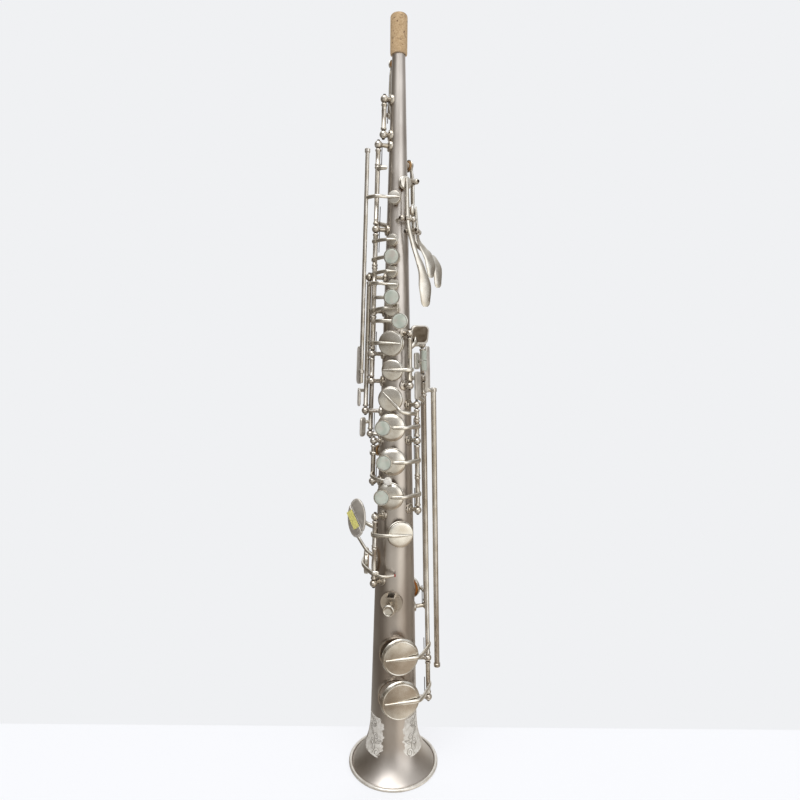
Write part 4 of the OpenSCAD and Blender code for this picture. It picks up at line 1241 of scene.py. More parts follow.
@dataclass
class RightHand:
    """Right-hand stack: three pearl keys, the F sharp key and the trill key."""

    open_deg: float = 9.5
    splits: tuple[float, float] = (266.5, 315.0)
    swell: float = 2.6
    pearl_s: float = -6.4
    pearl_up: float = 0.6
    foot: Profile = ((0, -1.1), (3.6, -1.1), (4.2, -0.4), (4.4, 0.4), (0, 0.4))
    slant_deg: float = -46.0
    button_t: float = 266.0
    button_deg: float = 54.5
    button_h: float = 15.2
    button: Profile = ((0, 0), (3.0, 0), (3.5, 0.5), (3.5, 1.4), (3.1, 1.85), (1.8, 2.0), (0, 2.02))

    def build(self) -> None:
        """Builds the five keys and their pearls."""
        third, second = RIGHT.spans(0, self.splits[0])
        first, top = RIGHT.spans(1, self.splits[1])
        for number, (hole, span) in enumerate(zip(RH, (first, second, third)), 1):
            self.finger(f"rh{number}", hole, span)
        self.f_sharp(top)
        self.trill()

    def finger(self, body: str, hole: Hole, span: tuple[float, float]) -> None:
        """Builds one finger key, with a pearl off the middle of its cup.

        Args:
            body: its body.
            hole: its tone hole.
            span: ends of its tube.
        """
        key = Key(f"{body}_key", RIGHT, [span], self.open_deg)
        key.armed_cup(hole, hole.z, 0.05, self.swell)
        holder = key.seat(hole, CONE.top_h(hole.r) + self.pearl_up, self.pearl_s)
        key.bezel(holder, self.foot)
        key.finish()
        Pearl(body).build(holder)

    def f_sharp(self, span: tuple[float, float]) -> None:
        """Builds the F sharp key, whose arm crosses the cup on the slant.

        Args:
            span: ends of its tube.
        """
        key = Key("f_sharp_key", RIGHT, [span], self.open_deg)
        key.cup(F_SHARP)
        d, r, top = key.off(F_SHARP), F_SHARP.r, CONE.top_h(F_SHARP.r)
        points = [RIGHT.rod(320.2), RIGHT.sec(321, d * 0.36, 10.4)]
        crest = CONE.cup_dome * r + 0.5
        for run, up in ((r + 3.6, 1.2), (r * 0.8, 0.9), (r * 0.2, crest), (-r * 0.8, 0.4)):
            aside, lift = polar(run, self.slant_deg)
            points.append(RIGHT.sec(F_SHARP.z, d, top + up, aside) + Vector((0, 0, lift)))
        key.bar(points, (4, 3.2, 3.0, 2.7, 2.2, 0.8), (2.4, 2.2, 2.2, 2.1, 1.8, 0.7), self.open_deg)
        key.finish()

    def trill(self) -> None:
        """Builds the trill key with its small round button."""
        key = Key("trill_key", TRILL, TRILL.spans(0))
        key.armed_cup(TRILL_HOLE, TRILL_HOLE.z)
        t, d = self.button_t, self.button_deg
        bends = ((1.6, 16, 12), (0.8, 34, 15.2), (0, d, 15.6))
        points = [TRILL.rod(t + 2.4), *(TRILL.sec(t + up, a, h) for up, a, h in bends)]
        key.bar(points, (3.2, 2.8, 2.6, 2.4), (2.2, 2, 2, 1.8))
        key.add(Bench.lathe(self.button, TRILL.seat(t, d) @ move(z=self.button_h), 32), FROSTED)
        key.finish()


@dataclass
class LeftHand:
    """Left-hand stack: three finger keys, the bis key, the C vent and the G sharp key."""

    open_deg: float = -9.0
    splits: tuple[float, float, float] = (402.0, 429.0, 442.5)
    touch_h: float = 10.5
    lh3_touch: tuple[float, float] = (397.0, 13.0)
    lh2_touch: tuple[float, float] = (416.0, -3.0)
    foot: Profile = ((0, -1.6), (3.4, -1.6), (3.8, -0.6), (3.8, 0.4), (0, 0.4))
    plate_t: float = 2.8

    def build(self) -> None:
        """Builds the five keys and their pearls."""
        third, second, bis, first = LEFT.spans(1, *self.splits)
        self.finger("lh3", LH3, LH3.z, third, self.lh3_touch, -1)
        self.finger("lh2", LH2, LH2.z - 2, second, self.lh2_touch, 1)
        key = Key("bis_key", LEFT, [bis], self.open_deg)
        key.armed_cup(BIS, BIS.z - 1.6, 0.75)
        key.finish()
        self.first(first)
        self.g_sharp()

    def finger(
        self, body: str, hole: Hole, t_arm: float, span: tuple[float, float], spot: tuple[float, float],
        up: float,
    ) -> None:
        """Builds a finger key whose pearl stands on an arm of its own.

        Args:
            body: its body.
            hole: its tone hole.
            t_arm: height where the cup's arm leaves the rod.
            span: ends of its tube.
            spot: height and angle of the pearl.
            up: how far above the pearl its arm leaves the rod.
        """
        key = Key(f"{body}_key", LEFT, [span], self.open_deg)
        key.armed_cup(hole, t_arm)
        t, d, h = spot[0], spot[1] - LEFT.phi, self.touch_h
        points = [LEFT.rod(t + up), LEFT.sec(t, d * 0.45, h + 1.9), LEFT.sec(t, d, h + 0.3, -3.8)]
        key.bar(points, (4, 3, 2.8), (2.4, 2.2, 1.9), self.open_deg)
        holder = LEFT.seat(t, d, self.open_deg) @ move(z=h)
        key.bezel(holder)
        key.finish()
        Pearl(body).build(holder)

    def first(self, span: tuple[float, float]) -> None:
        """Builds the first finger key, with its pearl on the cup and the C vent on the same tube.

        Args:
            span: ends of its tube.
        """
        key = Key("lh1_key", LEFT, [span], self.open_deg)
        key.armed_cup(LH1, LH1.z - 1, 0.05)
        key.armed_cup(C_VENT, C_VENT.z, 0.7)
        holder = key.seat(LH1, CONE.top_h(LH1.r) + 1.1)
        key.bezel(holder, self.foot)
        key.finish()
        Pearl("lh1").build(holder)

    def g_sharp(self) -> None:
        """Builds the G sharp key with its broad plate."""
        key = Key("g_sharp_key", G_LINE, G_LINE.spans(0), plate_t=self.plate_t)
        key.armed_cup(G_SHARP, G_SHARP.z)
        points = [G_LINE.rod(375), G_LINE.sec(379, 14, 9.8), G_LINE.sec(383, 26, 8.2)]
        key.bar(points, (4.2, 4.4, 6), (2.4, 2.2, 2))
        outline = round_plate(16.4, 17, 4.4)
        lean = G_LINE.face(G_LINE.sec(386, 29.6, 10), -8) @ turn(14, "Y")
        key.plate(outline, lean, 1.0)
        key.inlay(outline, lean @ move(-0.8), 0.82, BROWNED)
        key.finish()


@dataclass
class SideKeys:
    """Side C, side B flat and high E keys, whose blades stand edge-on at the player's right palm."""

    blade_w: float = 9.0
    blade_r: float = 3.5
    bypass_off: float = 9.0
    bypass_r: float = 1.7

    def build(self) -> None:
        """Builds the three keys."""
        self.side_c()
        self.side_b_flat()
        self.high_e()

    def blade(self, key: Key, x: float, y: float, span: tuple[float, float], facing: float) -> None:
        """Finishes a key with a blade.

        Args:
            key: the key.
            x: place of the blade's outer edge in the section, counted from the rod.
            y: place of that edge in the section.
            span: lower and upper end of the blade.
            facing: direction that it looks in degrees.
        """
        low, high = span
        edge = key.line.matrix() @ move(key.line.x + x, y, (low + high) / 2) @ turn(facing, "Z")
        outline = round_plate(high - low, self.blade_w, self.blade_r)
        key.plate(outline, edge @ move(0, -self.blade_w / 2) @ LIE_X, 0.7)
        key.finish()

    def side_c(self) -> None:
        """Builds the side C key."""
        key = Key("side_c_key", SIDE, SIDE.spans(0))
        key.cup(SIDE_C)
        t = SIDE_C.z
        points = [SIDE.rod(t + 0.6), SIDE.sec(t + 0.8, 20, 13.6), SIDE.sec(t + 0.6, 44, 11.8)]
        points += key.rib(SIDE_C)
        key.bar(points, (4, 3.2, 3, 2.6, 2, 0.8), (2.4, 2.2, 2.1, 2, 1.7, 0.7))
        key.bar([SIDE.rod(338.5), SIDE.beside(5, -3, 338)], (3, 3), (3, 2.6))
        self.blade(key, 5.2, -1, (324, 340), 8)

    def side_b_flat(self) -> None:
        """Builds the side B flat key."""
        key = Key("side_b_flat_key", BACK, BACK.spans(0))
        key.armed_cup(SIDE_BB, SIDE_BB.z)
        key.bar([BACK.rod(311), BACK.beside(6, 3.4, 310)], (3, 3), (3, 2.6))
        self.blade(key, 6, 11, (298, 315), -10)

    def high_e(self) -> None:
        """Builds the high E key, carried past the stack on its bypass rod."""
        low, high = LEFT.spans(0)[0], LEFT.spans(2, OCTAVE_SPLIT)[1]
        key = Key("high_e_key", LEFT, (low, high))
        x, t = self.bypass_off, HIGH_E.z
        key.bypass(x, self.bypass_r, (345, high[1] - 0.6), (low[0] + 4, high[1] - 2.4), (3, 3), 1.6)
        points = [LEFT.beside(x, 0, t), LEFT.sec(t, 24, 14.5), *key.rib(HIGH_E)]
        key.bar(points, (3.4, 3, 2.6, 2, 0.8), (2.3, 2.2, 2, 1.7, 0.7))
        key.cup(HIGH_E)
        self.blade(key, x, 0, (344, 376), 8)


@dataclass(frozen=True)
class Palm:
    """A palm key: its body, tone hole, height of its pin, and the rows of its lever.

    A row has the offset from the hinge plane, height, height above the skin, width, thickness and facing.
    """

    body: str
    hole: Hole
    pin_z: float
    rows: tuple[tuple[float, ...], ...]
    pin_h: float = 8.0

    @property
    def line(self) -> HingeLine:
        """Frame of the key, whose pin lies across it."""
        return HingeLine(self.hole.phi, self.pin_h)

    @property
    def pin(self) -> Matrix:
        """Frame of the pin, whose z runs along it."""
        return self.line.matrix() @ move(self.line.x, 0, self.pin_z) @ LIE_Y


PALMS = (
    Palm("palm_d", PALM_D, 480.0, (
        (0, 513, 7.2, 1.2, 0.8, 0), (0, 505, 7.1, 3, 2.2, 0), (0, 480, 8, 4.2, 2.6, 0),
        (2.2, 468, 8.2, 4, 2.4, 0), (7, 453, 8.8, 4.6, 2.3, 0), (11.6, 440, 10.3, 7.4, 2.1, 0),
        (14.6, 426, 10.8, 12.2, 1.9, 0), (15.4, 414, 10.4, 9.4, 1.6, 0),
    )),
    Palm("palm_e_flat", PALM_EB, 472.0, (
        (0, 492, 7.2, 1.2, 0.8, 0), (0, 485, 7.1, 3, 2.2, 0), (0, 472, 8, 4.2, 2.6, 0),
        (0.6, 465, 8.6, 5, 2.4, -6), (2, 458, 12, 8, 2.3, -22), (3.6, 451.5, 16, 10.2, 2.2, -36),
        (4.6, 444, 17.8, 10.6, 2, -42), (4.8, 438, 18, 8, 1.6, -42),
    )),
    Palm("palm_f", PALM_F, 515.0, (
        (0, 531, 7.2, 1.2, 0.8, 0), (0, 524, 7.1, 3, 2.2, 0), (0, 515, 8, 4.2, 2.6, 0),
        (0, 485, 8.4, 3.8, 2.4, 0), (-0.6, 466, 10.2, 4.6, 2.3, -12), (-4.6, 457, 17.6, 7, 2.3, -44),
        (-9.4, 451, 23.6, 9, 2.2, -76), (-11.6, 443, 25.8, 10.4, 2, -92), (-12, 431, 26, 8, 1.6, -95),
    )),
)


@dataclass
class PalmKeys:
    """Three palm keys that rock on short pins, each with a spoon for the left palm."""

    pin_len: float = 5.2
    rim_r: float = 2.3

    def build(self) -> None:
        """Builds the three keys."""
        for palm in PALMS:
            self.key(palm)

    def key(self, palm: Palm) -> None:
        """Builds one palm key.

        Args:
            palm: what makes it.
        """
        key = Key(f"{palm.body}_key", palm.line)
        half, rim = self.pin_len / 2, self.rim_r
        foot = [(key.bore_r, -half), (rim, -half), (rim, 0.9 - half), (key.tube_r, 1.2 - half)]
        profile = foot + [(radius, -z) for radius, z in reversed(foot)]
        key.add(Bench.lathe(profile, palm.pin, 28), WORN)
        points = [Vector((CONE.skin_x + h, y, z)) for y, z, h, *_ in palm.rows]
        widths, heights, turns = list(zip(*palm.rows))[3:]
        key.bar(points, widths, heights, turns=turns)
        key.cup(palm.hole)
        key.finish()


@dataclass
class OctaveWork:
    """Thumb lever and neck key of the octave mechanism."""

    lever_t: float = 480.0
    touch_deg: float = -100.0
    arm_z: float = 570.0

    def build(self) -> None:
        """Builds the lever and the neck key."""
        self.lever()
        self.neck_key()

    def lever(self) -> None:
        """Builds the thumb lever, which curls round the back to its touch."""
        key = Key("octave_lever", LEFT, LEFT.spans(2, OCTAVE_SPLIT)[:1])
        bends = ((-24, 9), (-52, 7), (-80, 6), (-98, 5.4))
        around = [LEFT.rod(self.lever_t), *(LEFT.sec(self.lever_t, a, h) for a, h in bends)]
        key.bar(around, (4.4, 4, 4, 4, 4.2), (2.6, 2.4, 2.3, 2.3, 2.3))
        drops = ((481, 5.3), (470, 5.2), (458, 5.1), (449.5, 5))
        down = [LEFT.sec(t, self.touch_deg, h) for t, h in drops]
        key.bar(down, (4.4, 4.6, 6, 9.4), (2.3, 2.3, 2.3, 2.2))
        top = key.tubes[0][1] - 2.5
        link = [LEFT.rod(top), LEFT.beside(-1, 5, top), LEFT.beside(-4.3, 7.3, top)]
        key.bar(link, (4, 3.8, 3.4), (2.6, 2.4, 2.1))
        key.finish()

    def neck_key(self) -> None:
        """Builds the neck key, whose arm passes behind the neck to the small vent cup."""
        key = Key("neck_octave_key", NECK, NECK.spans(0))
        d, t, h = key.off(OCTAVE), self.arm_z, CONE.top_h(OCTAVE.r) + 1.1
        around = [NECK.rod(t), NECK.sec(t, d * 0.35, 6.4), NECK.sec(t, d * 0.7, 6.8), NECK.sec(t, d, h)]
        key.bar(around, (4, 3.8, 3.6, 3.4), (2.4, 2.3, 2.3, 2.2))
        rises = ((t - 1, 0), (590, 0.2), (601, 0), (607, -0.2))
        up = [NECK.sec(z, d, h + lift) for z, lift in rises]
        key.bar(up, (3.4, 2.8, 2.4, 1.4), (2.2, 2.1, 2, 1.2))
        key.cup(OCTAVE)
        key.finish()


@dataclass
class Pads:
    """Leather pads in all the cups, with the ring that the chimney has pressed into each."""

    ring_w: float = 0.5
    ring_in: float = 1.5

    def build(self) -> None:
        """Builds each pad in the open rest pose of its key."""
        low, right, left = LowKeys.low_open, RightHand.open_deg, LeftHand.open_deg
        plan = (
            ("low_bb", LOW, low, LOW_BB), ("low_b", LOW, low, LOW_B), ("low_c_sharp", SHARP, 0, LOW_CS),
            ("low_c", PINKY, LowKeys.c_open, LOW_C), ("e_flat", PINKY, 0, E_FLAT),
            *((f"rh{i + 1}", RIGHT, right, hole) for i, hole in enumerate(RH)),
            ("f_sharp", RIGHT, right, F_SHARP), ("g_sharp", G_LINE, 0, G_SHARP), ("lh3", LEFT, left, LH3),
            ("lh2", LEFT, left, LH2), ("bis", LEFT, left, BIS), ("lh1", LEFT, left, LH1, C_VENT),
            ("side_c", SIDE, 0, SIDE_C), ("side_b_flat", BACK, 0, SIDE_BB), ("high_e", LEFT, 0, HIGH_E),
            ("trill", TRILL, 0, TRILL_HOLE), *((palm.body, palm.line, 0, palm.hole) for palm in PALMS),
            ("neck_octave", NECK, 0, OCTAVE),
        )
        for body, line, angle, *holes in plan:
            node = f"{body}_pads" if len(holes) > 1 else f"{body}_pad"
            piece = Bench.join([self.disc(line, hole, angle) for hole in holes], f"{node}_dressed")
            dress(piece, body, Slot.PADS, AMBER if body == "low_c_sharp" else LEATHER, node)

    def disc(self, line: HingeLine, hole: Hole, angle: float) -> Piece:
        """Turns one pad.

        Args:
            line: hinge line of its key.
            hole: its tone hole.
            angle: how far the key stands open.

        Returns:
            The pad.
        """
        r, thick, w = hole.r - CONE.cup_wall - CONE.pad_fit, CONE.pad_t(hole.r), self.ring_w
        ring = r - self.ring_in
        profile = [(0, 0.02), (ring - w, 0), (ring - w / 2, 0.12), (ring + w / 2, 0.12), (ring + w, 0)]
        profile += [(r - 0.5, 0.02), (r - 0.12, 0.25), (r, 0.7), (r, thick), (0, thick)]
        seat = line.seat(hole.z, hole.phi - line.phi, angle)
        return Bench.lathe(profile, seat @ move(z=CONE.chimney + CONE.pad_gap))


@dataclass
class Mounting:
    """Posts and rods of the key work."""

    ball_r: float = 3.3
    stem_r: float = 1.7
    foot_r: float = 4.5
    foot_t: float = 1.1
    foot_sunk: float = 1.6
    palm_ball_r: float = 2.4
    palm_stem_r: float = 1.4
    palm_sunk: float = 0.7
    palm_span: float = 5.3
    rod_r: float = 1.2

    def build(self) -> None:
        """Builds all posts as one group and all rods as another."""
        posts = [self.post(line.matrix(), line.x, t, True) for line in LINES for t in line.posts]
        for palm in PALMS:
            for side in (-self.palm_span, self.palm_span):
                posts.append(self.post(palm.line.matrix() @ move(0, side), palm.line.x, palm.pin_z, False))
        dress(Bench.join(posts, "key_posts_dressed"), "horn", Slot.KEYS, WORN, "key_posts")
        rods = [self.rod(line) for line in LINES] + [self.pin(palm) for palm in PALMS]
        dress(Bench.join(rods, "hinge_rods_dressed"), "horn", Slot.STEEL, STEEL, "hinge_rods")

    def post(self, matrix: Matrix, x: float, t: float, footed: bool) -> Piece:
        """Turns a post: foot, waisted stem and ball head.

        Args:
            matrix: frame of the hinge line.
            x: distance of the ball from the foot of the axis.
            t: height of the post.
            footed: whether it has a foot, as all posts but the palm keys' have.

        Returns:
            The post.
        """
        skin, centre = CONE.skin(t), x - CONE.axis_x(t)
        if footed:
            ball, stem, f = self.ball_r, self.stem_r, self.foot_r
            low, top = skin - self.foot_sunk, skin + self.foot_t
            foot = [(f, low), (f, top - 0.4), (f - 0.35, top), (f - 1.0, top + 0.1), (stem + 0.7, top + 0.35)]
            foot.append((stem + 0.15, top + 0.9))
        else:
            ball, stem, low = self.palm_ball_r, self.palm_stem_r, skin - self.palm_sunk
            foot = [(stem, low)]
        neck = centre - math.sqrt(ball * ball - stem * stem) - 0.5
        turns = [math.radians(angle) for angle in range(40, 180, 14)]
        bulb = [(ball * math.sin(q), centre - ball * math.cos(q)) for q in turns]
        profile = [(0, low), *foot, (stem, neck), *bulb, (0.0, centre + ball)]
        return Bench.lathe(profile, matrix @ move(CONE.axis_x(t), 0, t) @ LIE_X, 32)

    def rod(self, line: HingeLine) -> Piece:
        """Turns a hinge rod whose screw ends stand out of the outer posts.

        Args:
            line: its hinge line.

        Returns:
            The rod.
        """
        r, a, b = self.rod_r, line.posts[0] - self.ball_r - 0.6, line.posts[-1] + self.ball_r + 0.6
        profile = [(0, a + 0.25), (0.35, a + 0.25), (0.4, a), (r - 0.2, a), (r, a + 0.2)]
        profile += [(radius, a + b - z) for radius, z in reversed(profile)]
        return Bench.lathe(profile, line.matrix() @ move(line.x), 24)

    def pin(self, palm: Palm) -> Piece:
        """Turns the short pin of a palm key.

        Args:
            palm: the key.

        Returns:
            The pin.
        """
        r, half = self.rod_r, self.palm_span + self.palm_ball_r + 0.3
        profile = [(0, -half), (r - 0.2, -half), (r, 0.2 - half), (r, half - 0.2), (r - 0.2, half), (0, half)]
        return Bench.lathe(profile, palm.pin, 24)


@dataclass
class Horn:
    """Body tube with its engraving, the cork and the small fittings."""

    pieces: tuple[tuple[str, Finish], ...] = (
        ("body_tube", SATIN), ("bell", SATIN), ("bell_tone_holes", CHIMNEY), ("tone_holes", CHIMNEY),
    )
    rim_r: float = 37.6
    cork_r: float = 7.0
    cork_len: float = 31.0
    cork_fit: float = 0.02
    lyre: tuple[float, float] = (157.0, -8.0)
    hook: tuple[float, float] = (300.0, 180.0)
    hook_w: float = 11.0
    rest: tuple[float, float] = (424.0, 176.0)

    def build(self) -> None:
        """Builds the body and its fittings."""
        self.body()
        self.cork()
        self.lyre_screw()
        self.thumb_hook()
        self.thumb_rest()
        self.smooth_copy("lyre_socket", CHIMNEY, Slot.KEYS, 30)
        self.springs()
        Engraving().build()

    def smooth_copy(self, node: str, finish: Finish, slot: Slot, angle: float) -> Piece:
        """Copies a solid's mesh, merges its triangles and shades it smooth.

        Args:
            node: name of the solid.
            finish: its finish.
            slot: material slot of the record.
            angle: edges sharper than this stay crisp, in degrees.

        Returns:
            The copy, which replaces the solid.
        """
        piece = bpy.data.objects.new(f"{node}_dressed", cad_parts[node].data.copy())
        bpy.context.scene.collection.objects.link(piece)
        piece.data.materials.clear()
        with editing(piece):
            bpy.ops.mesh.customdata_custom_splitnormals_clear()
            bpy.ops.mesh.remove_doubles(threshold=WELD)
        bpy.ops.object.shade_smooth_by_angle(angle=math.radians(angle))
        return dress(piece, "horn", slot, finish, node)

    def body(self) -> None:
        """Dresses the body tube and the bell, whose rolled rim is bright."""
        for node, finish in self.pieces:
            piece = self.smooth_copy(node, finish, Slot.BODY, 32)
            if node == "bell":
                piece.data.materials.append(BUFFED.material())
                for face in piece.data.polygons:
                    face.material_index = int(Vector(face.center[:2]).length > self.rim_r * MM)

    def fitting(self, node: str, body: str, parts: Sequence[Piece]) -> None:
        """Joins and dresses a polished fitting."""
        dress(Bench.join(parts, f"{node}_dressed"), body, Slot.KEYS, POLISHED, node)

    def cork(self) -> None:
        """Turns the mouthpiece cork with worn, rounded ends."""
        r, high = self.cork_r, CONE.length
        low = high - self.cork_len
        profile = [(CONE.outer_r(low) - self.cork_fit, low), (r - 0.5, low + 0.05), (r - 0.12, low + 0.45)]
        profile += [(r - 0.02, low + 1.6), *((r, low + self.cork_len * f) for f in (0.2, 0.45, 0.7))]
        profile += [(r, high - 2.2), (r - 0.25, high - 1.1), (r - 0.9, high - 0.3), (r - 1.7, high)]
        profile.append((CONE.outer_r(high) - self.cork_fit, high))
        piece = Bench.join([Bench.lathe(profile, Matrix.Identity(4), 64)], "neck_cork_dressed")
        dress(piece, "horn", Slot.CORK, CORK, "neck_cork")

    def lyre_screw(self) -> None:
        """Turns the lyre screw with its coin-shaped head."""
        z, phi = self.lyre
        profile = [
            (0, 7.3), (1.4, 7.3), (1.6, 7.5), (1.6, 14.8), (2.9, 15.0), (2.9, 15.8), (4.4, 16), (4.8, 16.35),
            (4.8, 18.2), (4.5, 18.5), (4.0, 18.6), (3.7, 18.35), (2.0, 18.3), (0, 18.3),
        ]
        self.fitting("lyre_screw", "lyre_screw", [Bench.lathe(profile, HingeLine(phi, 0).seat(z, 0))])

    def thumb_hook(self) -> None:
        """Builds the thumb hook on the back: a strip that bends down, on a round foot."""
        z, phi = self.hook
        line = HingeLine(phi, 0)
        # Points of the strip's middle line (out, up) with its thickness
        spine = (
            (-2, 0, 4), (5, 0, 3.4), (10, -0.3, 3.3), (14, -1.1, 3.2), (17.4, -2.9, 3.1), (20, -5.6, 3),
            (21.6, -9, 2.7), (22, -12, 2.4),
        )
        upper: list[tuple[float, float]] = []
        lower: list[tuple[float, float]] = []
        for i, (x, y, thick) in enumerate(spine):
            ahead, behind = spine[min(i + 1, len(spine) - 1)], spine[max(i - 1, 0)]
            along = Vector((ahead[0] - behind[0], ahead[1] - behind[1])).normalized() * (thick / 2)
            upper.append((x - along.y, y + along.x))
            lower.append((x + along.y, y - along.x))
        spot = line.matrix() @ move(CONE.skin_x, self.hook_w / 2, z) @ LIE_Y
        strip = Bench.slab(upper + lower[::-1], self.hook_w, spot, 0.9)
        base = [(0, -1.6), (7.5, -1.6), (7.5, 0.9), (7.1, 1.25), (5.5, 1.45), (0, 1.5)]
        self.fitting("thumb_hook", "horn", [strip, Bench.lathe(base, line.seat(z, 0))])

    def thumb_rest(self) -> None:
        """Turns the domed thumb rest on the back."""
        z, phi = self.rest
        profile = [(0, -2.0), (6, -2.0), (6, 1.4), (5.6, 1.95), (4.6, 2.2), (3.4, 2.5), (1.8, 2.6), (0, 2.6)]
        self.fitting("thumb_rest", "horn", [Bench.lathe(profile, HingeLine(phi, 0).seat(z, 0))])

    def springs(self) -> None:
        """Gives the needle springs, whose solid stays as it is, their steel."""
        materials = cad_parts["needle_springs"].data.materials
        materials.clear()
        materials.append(STEEL.material())


@dataclass
class Engraving:
    """Leaf scrolls on frosted ground, cut into the bell on both sides of a plain middle."""

    line_w: float = 0.44
    lift: float = 0.06
    sunk: float = 0.2
    cut_depth: float = 0.25
    inner_deg: float = 25.0
    outer_deg: float = 84.0
    low_z: float = 18.0
    high_z: float = 51.0
    rows: int = 44
    columns: int = 22
    stem_deg: float = 53.0
    stem_sway: float = 9.0
    stem_rate: float = 0.19
    sprigs: int = 5
    sprig_from: float = 3.5
    sprig_gap: float = 6.0
    sprig_size: float = 7.6
    curl_deg: float = 612.0
    curl_tight: float = 0.86
    leaf_slope: float = 0.55
    leaf_bulge: float = 0.22
    edge_deg: float = 9.0
    edge_from: float = 0.72

    def build(self) -> None:
        """Makes the frosted ground and the cut lines of both panels."""
        sides = (-1, 1)
        ground = Bench.join([self.ground(side) for side in sides], "bell_engraving_ground", 60)
        dress(ground, "horn", Slot.BODY, FROSTED)
        lines = Bench.join([line for side in sides for line in self.panel(side)], "bell_engraving_lines", 60)
        dress(lines, "horn", Slot.BODY, ENGRAVED)

    def on_bell(self, u: float, z: float, lift: float) -> Vector:
        """Point over the bell's surface at the angle u in degrees and the height z."""
        x, y = polar(CONE.outer_r(z) + lift, u - 90)
        return Vector((x, y, z))

    def ground(self, side: int) -> Piece:
        """Makes the frosted ground of a panel, with a leafy edge, as a thin skin that reaches into the wall.

        Args:
            side: -1 for the left panel and 1 for the right one.

        Returns:
            The ground.
        """
        rows, columns, wide = self.rows, self.columns, self.columns + 1
        points: list[Vector] = []
        for depth in (self.lift * 0.5, -self.sunk):
            for i in range(rows + 1):
                q = i / rows
                z = self.low_z + (self.high_z - self.low_z) * q
                wave = 4.0 * math.sin(q * 23 + side) + 3.0 * math.sin(q * 57)
                taper = self.edge_deg * max(0.0, abs(2 * q - 1) - self.edge_from) / (1 - self.edge_from)
                low, high = self.inner_deg + wave * 0.6 + taper, self.outer_deg + wave - taper
                angles = [side * (low + (high - low) * k / columns) for k in range(wide)]
                points += [self.on_bell(u, z, depth) for u in angles]
        layer = (rows + 1) * wide
        faces: list[tuple[int, ...]] = []
        for a in (i * wide + k for i in range(rows) for k in range(columns)):
            outer = (a, a + 1, a + 1 + wide, a + wide)
            faces += [outer, tuple(n + layer for n in (outer[0], *outer[:0:-1]))]
        rim = [*range(columns), *(i * wide + columns for i in range(rows))]
        rim += [*(rows * wide + k for k in range(columns, 0, -1)), *(i * wide for i in range(rows, 0, -1))]
        faces += [(a, b, b + layer, a + layer) for a, b in zip(rim, rim[1:] + rim[:1])]
        return Bench.shell(points, faces)

    def ribbon(self, track: Sequence[tuple[float, float]], wide: float) -> Piece:
        """Lays a ribbon that swells in its middle.

        Args:
            track: its points (angle, height).
            wide: its width in the middle.

        Returns:
            The ribbon.
        """
        spots = [self.on_bell(u, z, self.lift) for u, z in track]
        last = len(spots) - 1
        points: list[Vector] = []
        for i, spot in enumerate(spots):
            ahead = (spots[min(i + 1, last)] - spots[max(i - 1, 0)]).normalized()
            out = Vector((spot.x, spot.y, 0)).normalized()
            swell = 0.15 + 0.85 * math.sin(math.pi * i / last) ** 0.7
            half = ahead.cross(out).normalized() * wide * swell / 2
            deep = out * self.cut_depth
            points += [spot + half, spot - half, spot - deep - half, spot - deep + half]
        faces: list[tuple[int, ...]] = [(3, 2, 1, 0), tuple(4 * last + k for k in range(4))]
        for a in range(0, 4 * last, 4):
            faces += [(a + k, a + (k + 1) % 4, a + 4 + (k + 1) % 4, a + 4 + k) for k in range(4)]
        return Bench.shell(points, faces)

    def stem_u(self, z: float) -> float:
        """Angle of the panel's wavy stem at the height z."""
        return self.stem_deg + self.stem_sway * math.sin(z * self.stem_rate)

    def panel(self, side: int) -> list[Piece]:
        """Cuts one panel: a wavy stem with curled tendrils and leaves.

        Args:
            side: -1 for the left panel and 1 for the right one.

        Returns:
            Its cut lines.
        """
        heights = [self.low_z + 1 + k for k in range(int(self.high_z - self.low_z) - 1)]
        made = [self.ribbon([(side * self.stem_u(z), z) for z in heights], self.line_w * 1.4)]
        for k in range(self.sprigs):
            z, size = self.low_z + self.sprig_from + self.sprig_gap * k, self.sprig_size - 0.5 * k
            u, way = side * self.stem_u(z), 1 if k % 2 else -1
            made.append(self.curl(u, z, way * side, size))
            made += self.leaf(u, z + 0.6, -way * side, size)
        return made

    def degrees(self, arc_mm: float, z: float) -> float:
        """Angle that an arc spans on the bell at the height z."""
        return math.degrees(arc_mm / CONE.outer_r(z))

    def curl(self, u: float, z: float, way: int, size: float, steps: int = 21) -> Piece:
        """Cuts a tendril that winds into a spiral.

        Args:
            u: angle of its root.
            z: height of its root.
            way: 1 to grow towards larger angles, -1 towards smaller ones.
            size: its width.
            steps: chords of the spiral.

        Returns:
            Its cut line.
        """
        track: list[tuple[float, float]] = []
        for i in range(steps + 1):
            q = i / steps
            along, up = polar(size * 0.5 * (1 - self.curl_tight * q), self.curl_deg * q)
            track.append((u + self.degrees(way * (size * 0.5 - along), z + up), z + up))
        return self.ribbon(track, self.line_w)

    def leaf(self, u: float, z: float, way: int, size: float, steps: int = 11) -> list[Piece]:
        """Cuts a pointed leaf: two edges and a midrib.

        Args:
            u: angle of its root.
            z: height of its root.
            way: 1 to grow towards larger angles, -1 towards smaller ones.
            size: its length along the bell.
            steps: chords of a line.

        Returns:
            Its cut lines.
        """
        made: list[Piece] = []
        run = [size * i / steps for i in range(steps + 1)]
        for bulge in (-1, 0, 1):
            swell = bulge * size * self.leaf_bulge
            rise = [self.leaf_slope * x + swell * math.sin(math.pi * x / size) for x in run]
            track = [(u + way * self.degrees(x, z), z + y) for x, y in zip(run, rise)]
            made.append(self.ribbon(track, self.line_w * (0.8 if bulge else 1.0)))
        return made


